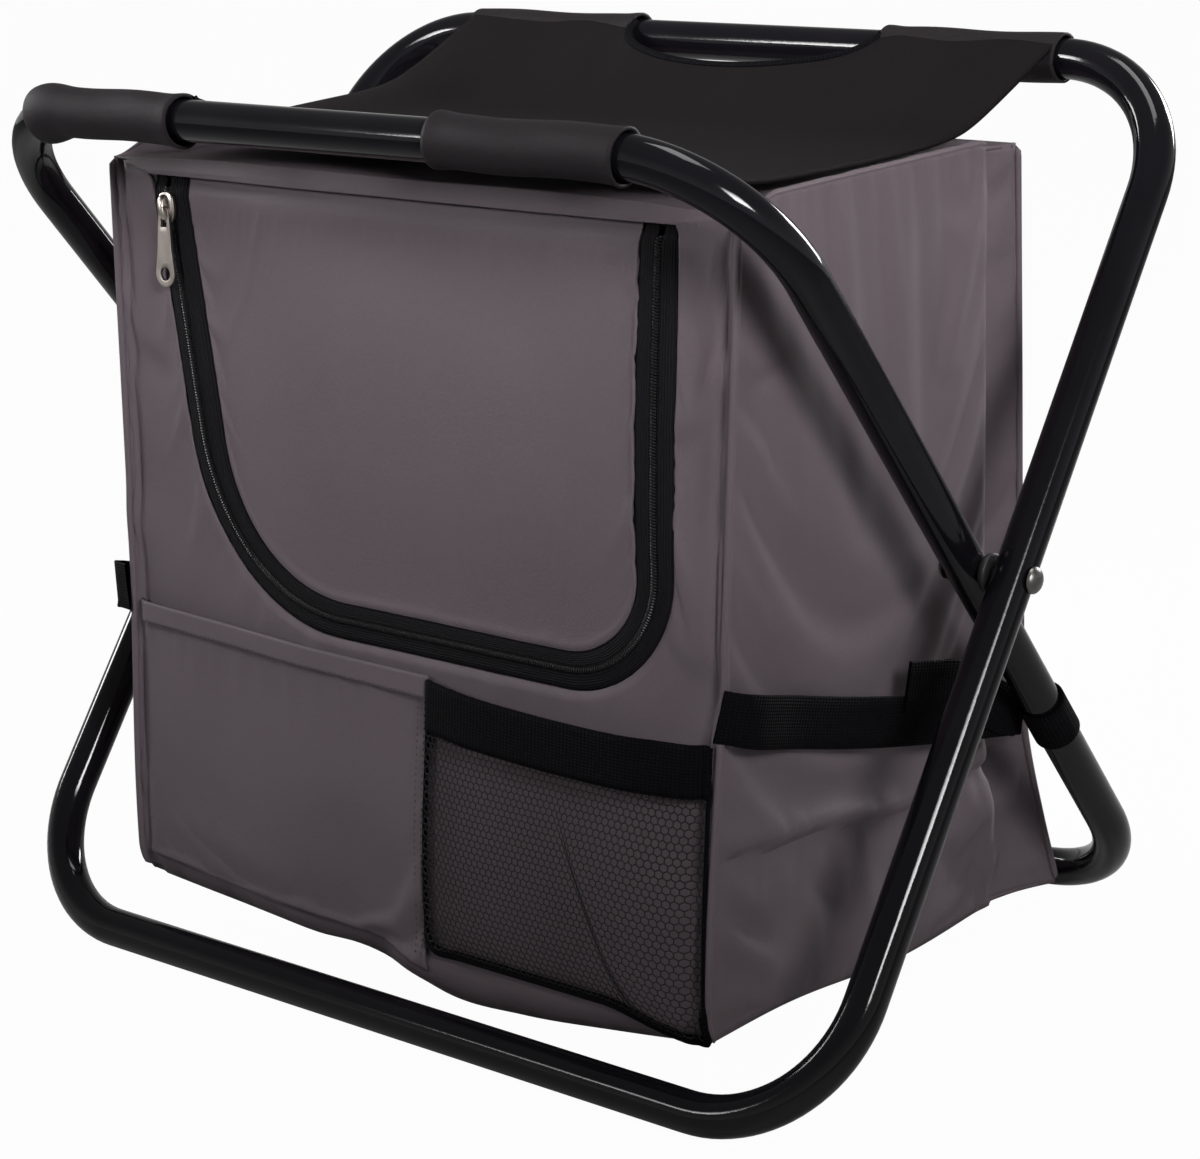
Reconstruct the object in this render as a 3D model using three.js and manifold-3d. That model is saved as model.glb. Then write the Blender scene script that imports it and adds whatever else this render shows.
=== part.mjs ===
// Folding cooler stool: two riveted tube loops, a sling seat and an insulated bag hung below it.
// Millimetres, +Z up, origin on the floor below the rivets. X runs along the rails and -Y is the front.
import * as THREE from 'three';
import { mergeVertices } from 'three/addons/utils/BufferGeometryUtils.js';
import Module from 'manifold-3d';

const wasm = await Module();
wasm.setup();

// Fits and sheet goods
const FIT = 0.3;
const CLOTH = 1.5;
const SEAT_CLOTH = 2;
const FOAM = 4;
const FOAM_TRIM = 3;
const FOIL = 0.8;
const WEBBING = 1.4;

// Tube frame
const TUBE_DIAMETER = 16;
const TUBE_WALL = 1.2;
const TUBE_SIDES = 12;
const BORE_SIDES = 8;
const INNER_LOOP_WIDTH = 380;
const LOOP_GAP = 4;
const LEG_ANGLE = THREE.MathUtils.degToRad(37.5);
const RIVET_HEIGHT = 185;
const TOP_REACH = 216.5;
const BEND_RADIUS = 56;
const BEND_STEPS = 6;
const RIVET_SHANK = 5;
const RIVET_HEAD = 10;
const RIVET_HEAD_HEIGHT = 2.8;
const SPACER_DIAMETER = 15;

// Seat
const SEAT_WIDTH = 300;
const SEAT_FLAT_LENGTH = 140;
const SEAT_SAG = 13;
const SEAT_STEPS = 10;
const SLEEVE_CLOTH = 1.4;
const HANDHOLD_WIDTH = 130;
const HANDHOLD_DEPTH = 32;
const BINDING_WIDTH = 3;
const BINDING_LIP = 1;

// Bag
const BAG_LEG_GAP = 27;
const BAG_DEPTH_TOP = 188;
const BAG_DEPTH_BASE = 234;
const BAG_LOW = 18;
const PIPING_DIAMETER = 3.2;

// Front flap and its zip, drawn on the front panel with margins from the panel's edges
const FLAP_TOP_MARGIN = 8;
const FLAP_LEFT_MARGIN = 28;
const FLAP_RIGHT_MARGIN = 29;
const FLAP_FOOT = 141;
const FLAP_SLANT = THREE.MathUtils.degToRad(10);
const FLAP_LEFT_RADIUS = 80;
const FLAP_RIGHT_RADIUS = 42;
const ZIP_WIDTH = 15;
const ZIP_TAPE = 1;
const CHAIN_WIDTH = 2;
const CHAIN_THICKNESS = 2;
const CHAIN_PROUD = 0.6;
const CHAIN_END = 1;
const FLAP_FOAM_TRIM = 2;
const SLIDER_LENGTH = 12;
const SLIDER_WIDTH = 8;
const SLIDER_PLATE = 1.6;
const SLIDER_DROP = 9;
const BRIDGE_WIDTH = 1.6;
const BRIDGE_SPAN = 9;
const PULL_LENGTH = 32;
const PULL_WIDTH = 7.4;
const PULL_THICKNESS = 1.2;
const PULL_EYE_WIDTH = 4.4;
const PULL_EYE_LENGTH = 6;
const PULL_BAR = 1.4;
const PULL_HOLE = 3.6;

// Pockets on the front panel
const POCKET_EDGE = 5;
const POCKET_FOOT = 18;
const POCKET_SPLIT = 17;
const SLIP_TOP = 128;
const SLIP_CLOTH = 1.2;
const SLIP_HEM = 9;
const MESH_TOP = 122.5;
const MESH_DEPTH = 9;
const MESH_BINDING = 3;
const ELASTIC_HEIGHT = 20;
const ELASTIC_THICKNESS = 1.5;
const NET_THICKNESS = 0.9;
const NET_PITCH = 9;
const NET_STRAND = 1.7;

// Side straps
const STRAP_WIDTH = 20;
const STRAP_FRONT_HEIGHT = 150;
const STRAP_FRONT_SETBACK = 6;
const STRAP_LEG_REACH = 95;
const STRAP_STEPS = 12;
const STRAP_TAIL_LENGTH = 55;
const STRAP_TAIL_RISE = 8;
const STRAP_TAIL_SETBACK = 14;

// Places worked out from the sizes above
const tubeRadius = TUBE_DIAMETER / 2;
const tubeCorner = tubeRadius / Math.cos(Math.PI / TUBE_SIDES);
const outerLoopWidth = INNER_LOOP_WIDTH + 2 * (TUBE_DIAMETER + LOOP_GAP);
const bottomReach = (RIVET_HEIGHT - tubeRadius) / Math.cos(LEG_ANGLE);
const sleeveBore = tubeCorner + FIT;
const sleeveRadius = sleeveBore + SLEEVE_CLOTH;
const sleeveCorner = sleeveRadius / Math.cos(Math.PI / TUBE_SIDES);
const railReach = TOP_REACH * Math.sin(LEG_ANGLE);
const railHeight = RIVET_HEIGHT + TOP_REACH * Math.cos(LEG_ANGLE);
const seatRimHeight = railHeight - sleeveCorner - FIT;
const seatLow = seatRimHeight - SEAT_SAG;
const bagHigh = seatLow - SEAT_CLOTH - FIT;
const halfWidth = (INNER_LOOP_WIDTH - TUBE_DIAMETER) / 2 - BAG_LEG_GAP;
const bagLean = Math.atan2((BAG_DEPTH_BASE - BAG_DEPTH_TOP) / 2, bagHigh - BAG_LOW);
const panelLength = (bagHigh - BAG_LOW) / Math.cos(bagLean);
const flapTop = panelLength - FLAP_TOP_MARGIN;
const flapLeft = halfWidth - FLAP_LEFT_MARGIN;
const flapRight = halfWidth - FLAP_RIGHT_MARGIN;
const foamInset = CLOTH + FIT;
const foilInset = foamInset + FOAM + FIT;
const zipHalf = ZIP_WIDTH / 2;
const chainHalf = CHAIN_WIDTH / 2;

const stool = new THREE.Group();

// Finishes
function finish(colour, roughness, metalness) {
  return new THREE.MeshStandardMaterial({ color: colour, roughness, metalness });
}
const blackPaint = finish(0x0a0a0b, 0.18, 0.3);
const rivetSteel = finish(0xb4b2ae, 0.35, 1);
const blackPlastic = finish(0x141414, 0.5, 0);
const seatCloth = finish(0x1b181a, 0.85, 0);
const greyCloth = finish(0x5d5459, 0.8, 0);
const blackWebbing = finish(0x121213, 0.8, 0);
const whiteFoam = finish(0xe6e4df, 0.9, 0);
const silverFoil = finish(0xc6c8ca, 0.3, 0.8);
const zipTapeCloth = finish(0x171718, 0.85, 0);
const zipCoil = finish(0x0d0d0e, 0.4, 0);
const pullMetal = finish(0xa8a49c, 0.3, 1);
const blackNet = finish(0x101010, 0.7, 0);

// Shape helpers
function add(parent, name, geometry, material) {
  const mesh = new THREE.Mesh(geometry, material);
  mesh.name = name;
  parent.add(mesh);
  return mesh;
}

function solidOf(geometry) {
  const bare = geometry.clone();
  bare.deleteAttribute('normal');
  bare.deleteAttribute('uv');
  const merged = mergeVertices(bare);
  const vertProperties = new Float32Array(merged.attributes.position.array);
  const triVerts = new Uint32Array(merged.index.array);
  return new wasm.Manifold(new wasm.Mesh({ numProp: 3, vertProperties, triVerts }));
}

function geometryOf(solid) {
  const mesh = solid.getMesh();
  const geometry = new THREE.BufferGeometry();
  geometry.setAttribute('position', new THREE.BufferAttribute(mesh.vertProperties, 3));
  geometry.setIndex(new THREE.BufferAttribute(mesh.triVerts, 1));
  return geometry;
}

function extruded(shape, depth, curveSegments = 8) {
  return new THREE.ExtrudeGeometry(shape, { depth, bevelEnabled: false, curveSegments });
}

// A section drawn as (Y, Z) and carried along X from low to high
function alongX(shape, low, high) {
  return extruded(shape, high - low).rotateX(Math.PI / 2).rotateZ(Math.PI / 2).translate(low, 0, 0);
}

function polygon(points) {
  return new THREE.Shape(points.map(([x, y]) => new THREE.Vector2(x, y)));
}

function rectangle(left, foot, right, top) {
  return polygon([[left, foot], [right, foot], [right, top], [left, top]]);
}

// A regular polygon whose flats lie at the given radius
function flatSided(radius, sides, x = 0, y = 0) {
  const corner = radius / Math.cos(Math.PI / sides);
  const points = [];
  for (let i = 0; i < sides; i += 1) {
    const angle = (2 * Math.PI * (i + 0.5)) / sides;
    points.push([x + corner * Math.cos(angle), y + corner * Math.sin(angle)]);
  }
  return polygon(points);
}

function ringShape(bore, radius) {
  const shape = flatSided(radius, TUBE_SIDES);
  shape.holes.push(flatSided(bore, TUBE_SIDES));
  return shape;
}

function box(left, right, front, back, low, high) {
  const geometry = new THREE.BoxGeometry(right - left, back - front, high - low);
  return geometry.translate((left + right) / 2, (front + back) / 2, (low + high) / 2);
}

// A rounded rectangle in the XZ plane, swept with a flat-sided section into one closed tube.
// One flat of the section is turned by faceTurn from straight outwards, so that it meets the floor.
function loopTube(width, radius, sides, faceTurn) {
  const corner = radius / Math.cos(Math.PI / sides);
  const halfRail = width / 2 - BEND_RADIUS;
  const bends = [
    [halfRail, TOP_REACH - BEND_RADIUS],
    [-halfRail, TOP_REACH - BEND_RADIUS],
    [-halfRail, BEND_RADIUS - bottomReach],
    [halfRail, BEND_RADIUS - bottomReach],
  ];
  const positions = [];
  bends.forEach(([x, z], quarter) => {
    for (let step = 0; step <= BEND_STEPS; step += 1) {
      const bend = (Math.PI / 2) * (quarter + step / BEND_STEPS);
      for (let side = 0; side < sides; side += 1) {
        const turn = faceTurn + (2 * Math.PI * (side + 0.5)) / sides;
        const reach = BEND_RADIUS + corner * Math.cos(turn);
        positions.push(x + reach * Math.cos(bend), -corner * Math.sin(turn), z + reach * Math.sin(bend));
      }
    }
  });
  const rings = positions.length / (3 * sides);
  const indices = [];
  for (let ring = 0; ring < rings; ring += 1) {
    for (let side = 0; side < sides; side += 1) {
      const near = ring * sides;
      const far = ((ring + 1) % rings) * sides;
      const next = (side + 1) % sides;
      indices.push(near + side, far + side, far + next, near + side, far + next, near + next);
    }
  }
  const geometry = new THREE.BufferGeometry();
  geometry.setAttribute('position', new THREE.Float32BufferAttribute(positions, 3));
  geometry.setIndex(indices);
  return geometry;
}

// Tube loops: hollow, opened at the legs by the rivet holes
function frameLoop(name, width, lean) {
  const frame = new THREE.Group();
  frame.position.set(0, 0, RIVET_HEIGHT);
  frame.rotation.x = lean;
  stool.add(frame);
  const skin = solidOf(loopTube(width, tubeRadius, TUBE_SIDES, lean));
  const bore = solidOf(loopTube(width, tubeRadius - TUBE_WALL, BORE_SIDES, lean));
  const holeRadius = RIVET_SHANK / 2 + FIT;
  const drill = new THREE.CylinderGeometry(holeRadius, holeRadius, 2 * width, TUBE_SIDES).rotateZ(Math.PI / 2);
  add(frame, name, geometryOf(skin.subtract(bore).subtract(solidOf(drill))), blackPaint);
  return frame;
}
const innerFrame = frameLoop('inner_frame_tube', INNER_LOOP_WIDTH, LEG_ANGLE);
const outerFrame = frameLoop('outer_frame_tube', outerLoopWidth, -LEG_ANGLE);

// Rivets and the spacers between the crossing legs
for (const [side, turn] of [['right', 0], ['left', Math.PI]]) {
  const pivot = new THREE.Group();
  pivot.position.set(0, 0, RIVET_HEIGHT);
  pivot.rotation.z = turn;
  stool.add(pivot);
  const shank = RIVET_SHANK / 2 - FIT / 2;
  const head = RIVET_HEAD / 2;
  const inside = INNER_LOOP_WIDTH / 2 - tubeCorner - FIT;
  const outside = outerLoopWidth / 2 + tubeCorner + FIT;
  const profile = [
    [0, inside - RIVET_HEAD_HEIGHT],
    [head * 0.7, inside - RIVET_HEAD_HEIGHT],
    [head, inside - RIVET_HEAD_HEIGHT / 2],
    [head, inside],
    [shank, inside],
    [shank, outside],
    [head, outside],
    [head, outside + RIVET_HEAD_HEIGHT / 3],
    [head * 0.7, outside + RIVET_HEAD_HEIGHT * 0.8],
    [0, outside + RIVET_HEAD_HEIGHT],
  ].map(([radius, along]) => new THREE.Vector2(radius, along));
  add(pivot, `${side}_pivot_rivet`, new THREE.LatheGeometry(profile, TUBE_SIDES).rotateZ(-Math.PI / 2), rivetSteel);
  const spacer = ringShape(RIVET_SHANK / 2 + FIT, SPACER_DIAMETER / 2);
  const spacerLow = INNER_LOOP_WIDTH / 2 + tubeCorner + FIT;
  const spacerHigh = outerLoopWidth / 2 - tubeCorner - FIT;
  add(pivot, `${side}_pivot_spacer`, alongX(spacer, spacerLow, spacerHigh), blackPlastic);
}

// Seat sleeves: cloth tunnels round the straight of the rails, one on each side of the hand-hold
function sleeveEnd(loopWidth) {
  return Math.min(SEAT_WIDTH / 2, loopWidth / 2 - BEND_RADIUS);
}
for (const [rail, frame, width] of [['front', innerFrame, INNER_LOOP_WIDTH], ['rear', outerFrame, outerLoopWidth]]) {
  const near = HANDHOLD_WIDTH / 2;
  const far = sleeveEnd(width);
  const tunnel = ringShape(sleeveBore, sleeveRadius);
  for (const [side, low, high] of [['left', -far, -near], ['right', near, far]]) {
    add(frame, `${rail}_${side}_sleeve`, alongX(tunnel, low, high).translate(0, 0, TOP_REACH), seatCloth);
  }
}

// Seat panel: sags from below the sleeves on to the top of the bag, with a half-round hand-hold at each rail
function seatHeight(y) {
  const slope = Math.max(0, Math.abs(y) - SEAT_FLAT_LENGTH / 2) / (railReach - SEAT_FLAT_LENGTH / 2);
  return seatLow + (seatRimHeight - seatLow) * slope * slope;
}

function seatSection(above, below) {
  const stations = [];
  for (let i = 0; i <= SEAT_STEPS; i += 1) {
    const run = SEAT_FLAT_LENGTH / 2 + ((railReach - SEAT_FLAT_LENGTH / 2) * i) / SEAT_STEPS;
    stations.push(run);
  }
  const across = [...stations.map((y) => -y).reverse(), ...stations];
  const top = across.map((y) => [y, seatHeight(y) + above]);
  const under = across.map((y) => [y, seatHeight(y) - SEAT_CLOTH - below]).reverse();
  return polygon([...top, ...under]);
}

// The seat narrows to the front, where the rail's straight is shorter
function seatSolid(above, below) {
  const front = sleeveEnd(INNER_LOOP_WIDTH);
  const rear = sleeveEnd(outerLoopWidth);
  const plan = polygon([[-front, -railReach], [front, -railReach], [rear, railReach], [-rear, railReach]]);
  const sheet = solidOf(alongX(seatSection(above, below), -SEAT_WIDTH / 2, SEAT_WIDTH / 2));
  return sheet.intersect(solidOf(extruded(plan, 2 * seatRimHeight)));
}

function handholdPrism(y, inset) {
  const shape = new THREE.Shape();
  shape.absellipse(0, y, HANDHOLD_WIDTH / 2 - inset, HANDHOLD_DEPTH - inset, 0, 2 * Math.PI, false);
  return solidOf(extruded(shape, 2 * seatRimHeight));
}

const holds = [['front', -railReach], ['rear', railReach]];
let seat = seatSolid(0, 0);
for (const [rail, y] of holds) {
  seat = seat.subtract(handholdPrism(y, 0));
  const rim = handholdPrism(y, FIT).subtract(handholdPrism(y, FIT + BINDING_WIDTH));
  add(stool, `${rail}_handhold_binding`, geometryOf(seatSolid(BINDING_LIP, 0).intersect(rim)), blackWebbing);
}
add(stool, 'seat_panel', geometryOf(seat), seatCloth);

// Half the bag's depth at a height, taken a given distance inside the front and rear faces
function halfDepth(height, inset) {
  return BAG_DEPTH_BASE / 2 - (height - BAG_LOW) * Math.tan(bagLean) - inset / Math.cos(bagLean);
}

function bagSection(faceInset, endInset) {
  const low = BAG_LOW + endInset;
  const high = bagHigh - endInset;
  const atLow = halfDepth(low, faceInset);
  const atHigh = halfDepth(high, faceInset);
  return polygon([[-atLow, low], [atLow, low], [atHigh, high], [-atHigh, high]]);
}

// The two leaning faces of the bag: X across, Y up the face, Z outwards
function leaningFace(turn) {
  const spin = new THREE.Group();
  spin.rotation.z = turn;
  const face = new THREE.Group();
  face.position.set(0, -BAG_DEPTH_BASE / 2, BAG_LOW);
  face.rotation.x = Math.PI / 2 - bagLean;
  spin.add(face);
  stool.add(spin);
  return face;
}
const frontFace = leaningFace(0);
const rearFace = leaningFace(Math.PI);

// A layer of the face from one depth outwards to another
function layer(shape, from, to) {
  return extruded(shape, to - from).translate(0, 0, from);
}

// The zip line is a U: a slanted left run, a wide bend, the foot, a tighter bend and an upright right run.
// Its ends are taken the given distance outside that line.
function zipEnds(outside) {
  const drop = Math.sin(FLAP_SLANT) * (FLAP_LEFT_RADIUS + FLAP_FOOT - flapTop);
  const wide = [(FLAP_LEFT_RADIUS - drop) / Math.cos(FLAP_SLANT) - flapLeft, FLAP_FOOT + FLAP_LEFT_RADIUS];
  const tight = [flapRight - FLAP_RIGHT_RADIUS, FLAP_FOOT + FLAP_RIGHT_RADIUS];
  return { left: -flapLeft - outside / Math.cos(FLAP_SLANT), right: flapRight + outside, wide, tight };
}

function flapShape(outside, top) {
  const { left, right, wide, tight } = zipEnds(outside);
  const shape = new THREE.Shape();
  shape.moveTo(right, top);
  shape.lineTo(left + (flapTop - top) * Math.tan(FLAP_SLANT), top);
  shape.absarc(...wide, FLAP_LEFT_RADIUS + outside, Math.PI + FLAP_SLANT, 1.5 * Math.PI, false);
  shape.absarc(...tight, FLAP_RIGHT_RADIUS + outside, 1.5 * Math.PI, 2 * Math.PI, false);
  return shape;
}

function zipBand(outer, inner, top) {
  const from = zipEnds(outer);
  const { left, right, wide, tight } = zipEnds(inner);
  const shift = (flapTop - top) * Math.tan(FLAP_SLANT);
  const shape = new THREE.Shape();
  shape.moveTo(left + shift, top);
  shape.lineTo(from.left + shift, top);
  shape.absarc(...wide, FLAP_LEFT_RADIUS + outer, Math.PI + FLAP_SLANT, 1.5 * Math.PI, false);
  shape.absarc(...tight, FLAP_RIGHT_RADIUS + outer, 1.5 * Math.PI, 2 * Math.PI, false);
  shape.lineTo(from.right, top);
  shape.lineTo(right, top);
  shape.absarc(...tight, FLAP_RIGHT_RADIUS + inner, 2 * Math.PI, 1.5 * Math.PI, true);
  shape.absarc(...wide, FLAP_LEFT_RADIUS + inner, 1.5 * Math.PI, Math.PI + FLAP_SLANT, true);
  return shape;
}

// Bag cloth: front with the flap opening, rear, sides, top and base
const mouth = () => flapShape(zipHalf, flapTop + FIT);
const frontCloth = rectangle(-halfWidth, 0, halfWidth, panelLength);
frontCloth.holes.push(mouth());
add(frontFace, 'front_panel', layer(frontCloth, -CLOTH, 0), greyCloth);
add(rearFace, 'rear_panel', layer(rectangle(-halfWidth, 0, halfWidth, panelLength), -CLOTH, 0), greyCloth);

const sideCloth = bagSection(foamInset, 0);
add(stool, 'right_side_panel', alongX(sideCloth, halfWidth - CLOTH, halfWidth), greyCloth);
add(stool, 'left_side_panel', alongX(sideCloth, -halfWidth, CLOTH - halfWidth), greyCloth);

function levelSheet(name, inset, low, high, material) {
  const x = halfWidth - inset;
  const y = Math.min(halfDepth(low, inset), halfDepth(high, inset));
  add(stool, name, box(-x, x, -y, y, low, high), material);
}
levelSheet('top_panel', foamInset, bagHigh - CLOTH, bagHigh, greyCloth);
levelSheet('base_panel', foamInset, BAG_LOW, BAG_LOW + CLOTH, greyCloth);

// Foam boards behind the cloth, cut short of the seams
const foamWidth = halfWidth - foamInset;
const foamBoard = () => rectangle(-foamWidth, FOAM_TRIM, foamWidth, panelLength - FOAM_TRIM);
const frontBoard = foamBoard();
frontBoard.holes.push(mouth());
add(frontFace, 'front_foam', layer(frontBoard, -foamInset - FOAM, -foamInset), whiteFoam);
add(rearFace, 'rear_foam', layer(foamBoard(), -foamInset - FOAM, -foamInset), whiteFoam);
const sideFoam = bagSection(foilInset, FOAM_TRIM);
add(stool, 'right_side_foam', alongX(sideFoam, foamWidth - FOAM, foamWidth), whiteFoam);
add(stool, 'left_side_foam', alongX(sideFoam, -foamWidth, FOAM - foamWidth), whiteFoam);
levelSheet('top_foam', foilInset, bagHigh - foamInset - FOAM, bagHigh - foamInset, whiteFoam);
levelSheet('base_foam', foilInset, BAG_LOW + foamInset, BAG_LOW + foamInset + FOAM, whiteFoam);

// Foil lining: one welded box, open only at the flap's mouth
function foilBlock(inset) {
  return solidOf(alongX(bagSection(inset, inset), inset - halfWidth, halfWidth - inset));
}
frontFace.updateWorldMatrix(true, false);
const mouthCut = layer(mouth(), -foilInset - BAG_DEPTH_TOP / 2, 0).applyMatrix4(frontFace.matrixWorld);
const foil = foilBlock(foilInset).subtract(foilBlock(foilInset + FOIL)).subtract(solidOf(mouthCut));
add(stool, 'foil_lining', geometryOf(foil), silverFoil);

// Flap: cloth, foam and foil, with its half of the zip
const flapTrim = -zipHalf - FLAP_FOAM_TRIM;
const flapFoamTop = flapTop - FLAP_FOAM_TRIM;
add(frontFace, 'flap_panel', layer(flapShape(-zipHalf, flapTop), -CLOTH, 0), greyCloth);
add(frontFace, 'flap_foam', layer(flapShape(flapTrim, flapFoamTop), -foamInset - FOAM, -foamInset), whiteFoam);
add(frontFace, 'flap_foil', layer(flapShape(flapTrim, flapFoamTop), -foilInset - FOIL, -foilInset), silverFoil);
const tapeBack = -ZIP_TAPE - FIT;
const innerTape = zipBand(-chainHalf - FIT, FIT - zipHalf, flapTop);
const outerTape = zipBand(zipHalf - FIT, chainHalf + FIT, flapTop);
add(frontFace, 'zip_flap_tape', layer(innerTape, tapeBack, -FIT), zipTapeCloth);
add(frontFace, 'zip_bag_tape', layer(outerTape, tapeBack, -FIT), zipTapeCloth);
const chainBand = zipBand(chainHalf, -chainHalf, flapTop - CHAIN_END);
const chain = layer(chainBand, CHAIN_PROUD - CHAIN_THICKNESS, CHAIN_PROUD);
add(frontFace, 'zip_chain', chain, zipCoil);

// Slider: a saddle over the chain with a bridge along it, which traps the bar of the pull tab
const sliderSpot = new THREE.Group();
sliderSpot.position.set(SLIDER_DROP * Math.tan(FLAP_SLANT) - flapLeft, flapTop - SLIDER_DROP, 0);
frontFace.add(sliderSpot);
const plateLow = CHAIN_PROUD + FIT;
const plateHigh = plateLow + SLIDER_PLATE;
const barSwing = Math.hypot(PULL_BAR, PULL_THICKNESS) / 2 + FIT;
const pullAxis = plateHigh + barSwing;
const bridgeLow = pullAxis + barSwing;
const bridgeHigh = bridgeLow + BRIDGE_WIDTH;
const sliderHalf = SLIDER_WIDTH / 2;
const sliderEnd = SLIDER_LENGTH / 2;
const flangeIn = chainHalf + FIT;
const bridgeHalf = BRIDGE_WIDTH / 2;
const bridgeEnd = BRIDGE_SPAN / 2;
const sliderBlocks = [
  box(-sliderHalf, sliderHalf, -sliderEnd, sliderEnd, plateLow, plateHigh),
  box(-sliderHalf, -flangeIn, -sliderEnd, sliderEnd, CHAIN_PROUD / 2, plateHigh),
  box(flangeIn, sliderHalf, -sliderEnd, sliderEnd, CHAIN_PROUD / 2, plateHigh),
  box(-bridgeHalf, bridgeHalf, -bridgeEnd, BRIDGE_WIDTH - bridgeEnd, plateLow, bridgeHigh),
  box(-bridgeHalf, bridgeHalf, bridgeEnd - BRIDGE_WIDTH, bridgeEnd, plateLow, bridgeHigh),
  box(-bridgeHalf, bridgeHalf, -bridgeEnd, bridgeEnd, bridgeLow, bridgeHigh),
].map(solidOf);
const sliderBody = sliderBlocks.reduce((whole, block) => whole.add(block));
add(sliderSpot, 'zip_slider', geometryOf(sliderBody), pullMetal).rotation.z = FLAP_SLANT;

// Pull tab: an eye round the bridge at the top and a round hole near its foot
const pullHalf = PULL_WIDTH / 2;
const pullShape = new THREE.Shape();
pullShape.moveTo(pullHalf, PULL_BAR / 2);
pullShape.lineTo(-pullHalf, PULL_BAR / 2);
pullShape.absarc(0, pullHalf - PULL_LENGTH, pullHalf, Math.PI, 2 * Math.PI, false);
const eyeTop = -PULL_BAR / 2;
pullShape.holes.push(rectangle(-PULL_EYE_WIDTH / 2, eyeTop - PULL_EYE_LENGTH, PULL_EYE_WIDTH / 2, eyeTop));
pullShape.holes.push(flatSided(PULL_HOLE / 2, TUBE_SIDES, 0, pullHalf - PULL_LENGTH));
const pullLow = pullAxis - PULL_THICKNESS / 2;
add(sliderSpot, 'zip_pull_tab', layer(pullShape, pullLow, pullLow + PULL_THICKNESS), pullMetal);

// Slip pocket: a plain patch with a hemmed top edge
const pocketSide = halfWidth - POCKET_EDGE;
const slipRight = POCKET_SPLIT - FIT;
const slipFace = FIT + SLIP_CLOTH;
const slipPatch = rectangle(-pocketSide, POCKET_FOOT, slipRight, SLIP_TOP);
const slipHem = rectangle(-pocketSide, SLIP_TOP - SLIP_HEM, slipRight, SLIP_TOP);
add(frontFace, 'slip_pocket_panel', layer(slipPatch, FIT, slipFace), greyCloth);
add(frontFace, 'slip_pocket_hem', layer(slipHem, slipFace + FIT, slipFace + FIT + SLIP_CLOTH), greyCloth);

// Mesh pocket: a bound gusset on three sides, a net across it and an elastic along its mouth
const gusset = polygon([
  [POCKET_SPLIT, POCKET_FOOT],
  [pocketSide, POCKET_FOOT],
  [pocketSide, MESH_TOP],
  [pocketSide - MESH_BINDING, MESH_TOP],
  [pocketSide - MESH_BINDING, POCKET_FOOT + MESH_BINDING],
  [POCKET_SPLIT + MESH_BINDING, POCKET_FOOT + MESH_BINDING],
  [POCKET_SPLIT + MESH_BINDING, MESH_TOP],
  [POCKET_SPLIT, MESH_TOP],
]);
const netBack = MESH_DEPTH + FIT;
const elasticFoot = MESH_TOP - ELASTIC_HEIGHT;
add(frontFace, 'mesh_pocket_gusset', layer(gusset, FIT, MESH_DEPTH), blackWebbing);
const elastic = rectangle(POCKET_SPLIT, elasticFoot, pocketSide, MESH_TOP);
add(frontFace, 'mesh_pocket_elastic', layer(elastic, netBack, netBack + ELASTIC_THICKNESS), blackWebbing);

const net = rectangle(POCKET_SPLIT, POCKET_FOOT, pocketSide, elasticFoot - FIT);
const netHole = (NET_PITCH - NET_STRAND) / 2;
const rowPitch = (NET_PITCH * Math.sqrt(3)) / 2;
const netEdge = MESH_BINDING + NET_PITCH / 2;
const netRows = Math.floor((elasticFoot - POCKET_FOOT - 2 * netEdge) / rowPitch) + 1;
const netColumns = Math.floor((pocketSide - POCKET_SPLIT - 2 * netEdge) / NET_PITCH);
for (let row = 0; row < netRows; row += 1) {
  for (let column = 0; column <= netColumns - (row % 2); column += 1) {
    const x = POCKET_SPLIT + netEdge + NET_PITCH * (column + (row % 2) / 2);
    net.holes.push(flatSided(netHole, 6, x, POCKET_FOOT + netEdge + rowPitch * row));
  }
}
add(frontFace, 'mesh_pocket_net', layer(net, netBack, netBack + NET_THICKNESS), blackNet);

// Piping down the four upright corners
for (const [end, face] of [['front', frontFace], ['rear', rearFace]]) {
  for (const [side, sign] of [['left', -1], ['right', 1]]) {
    const facing = end === 'front' ? sign : -sign;
    const cord = extruded(flatSided(PIPING_DIAMETER / 2, 8), panelLength).rotateX(-Math.PI / 2);
    cord.translate(facing * (halfWidth + FIT + PIPING_DIAMETER / 2), 0, -CLOTH / 2);
    add(face, `${end}_${side}_piping`, cord, blackWebbing);
  }
}

// Side straps: webbing from the front corner back to the inner leg, a doubled tail, and a loop on the leg
const strapFrontY = STRAP_FRONT_SETBACK - halfDepth(STRAP_FRONT_HEIGHT, 0);
const strapLegY = STRAP_LEG_REACH * Math.sin(LEG_ANGLE);
const strapLegZ = RIVET_HEIGHT - STRAP_LEG_REACH * Math.cos(LEG_ANGLE);
const strapRun = Math.hypot(strapLegY - strapFrontY, strapLegZ - STRAP_FRONT_HEIGHT);
const strapDip = Math.atan2(strapLegZ - STRAP_FRONT_HEIGHT, strapLegY - strapFrontY);
const strapStart = halfWidth + FIT;
const strapEnd = INNER_LOOP_WIDTH / 2 - sleeveCorner - FIT - WEBBING;

// Distance of the webbing's inner face from the middle plane, run millimetres back from the front corner
function strapBow(run) {
  const share = run / strapRun;
  return strapStart + (strapEnd - strapStart) * share * share;
}

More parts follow.
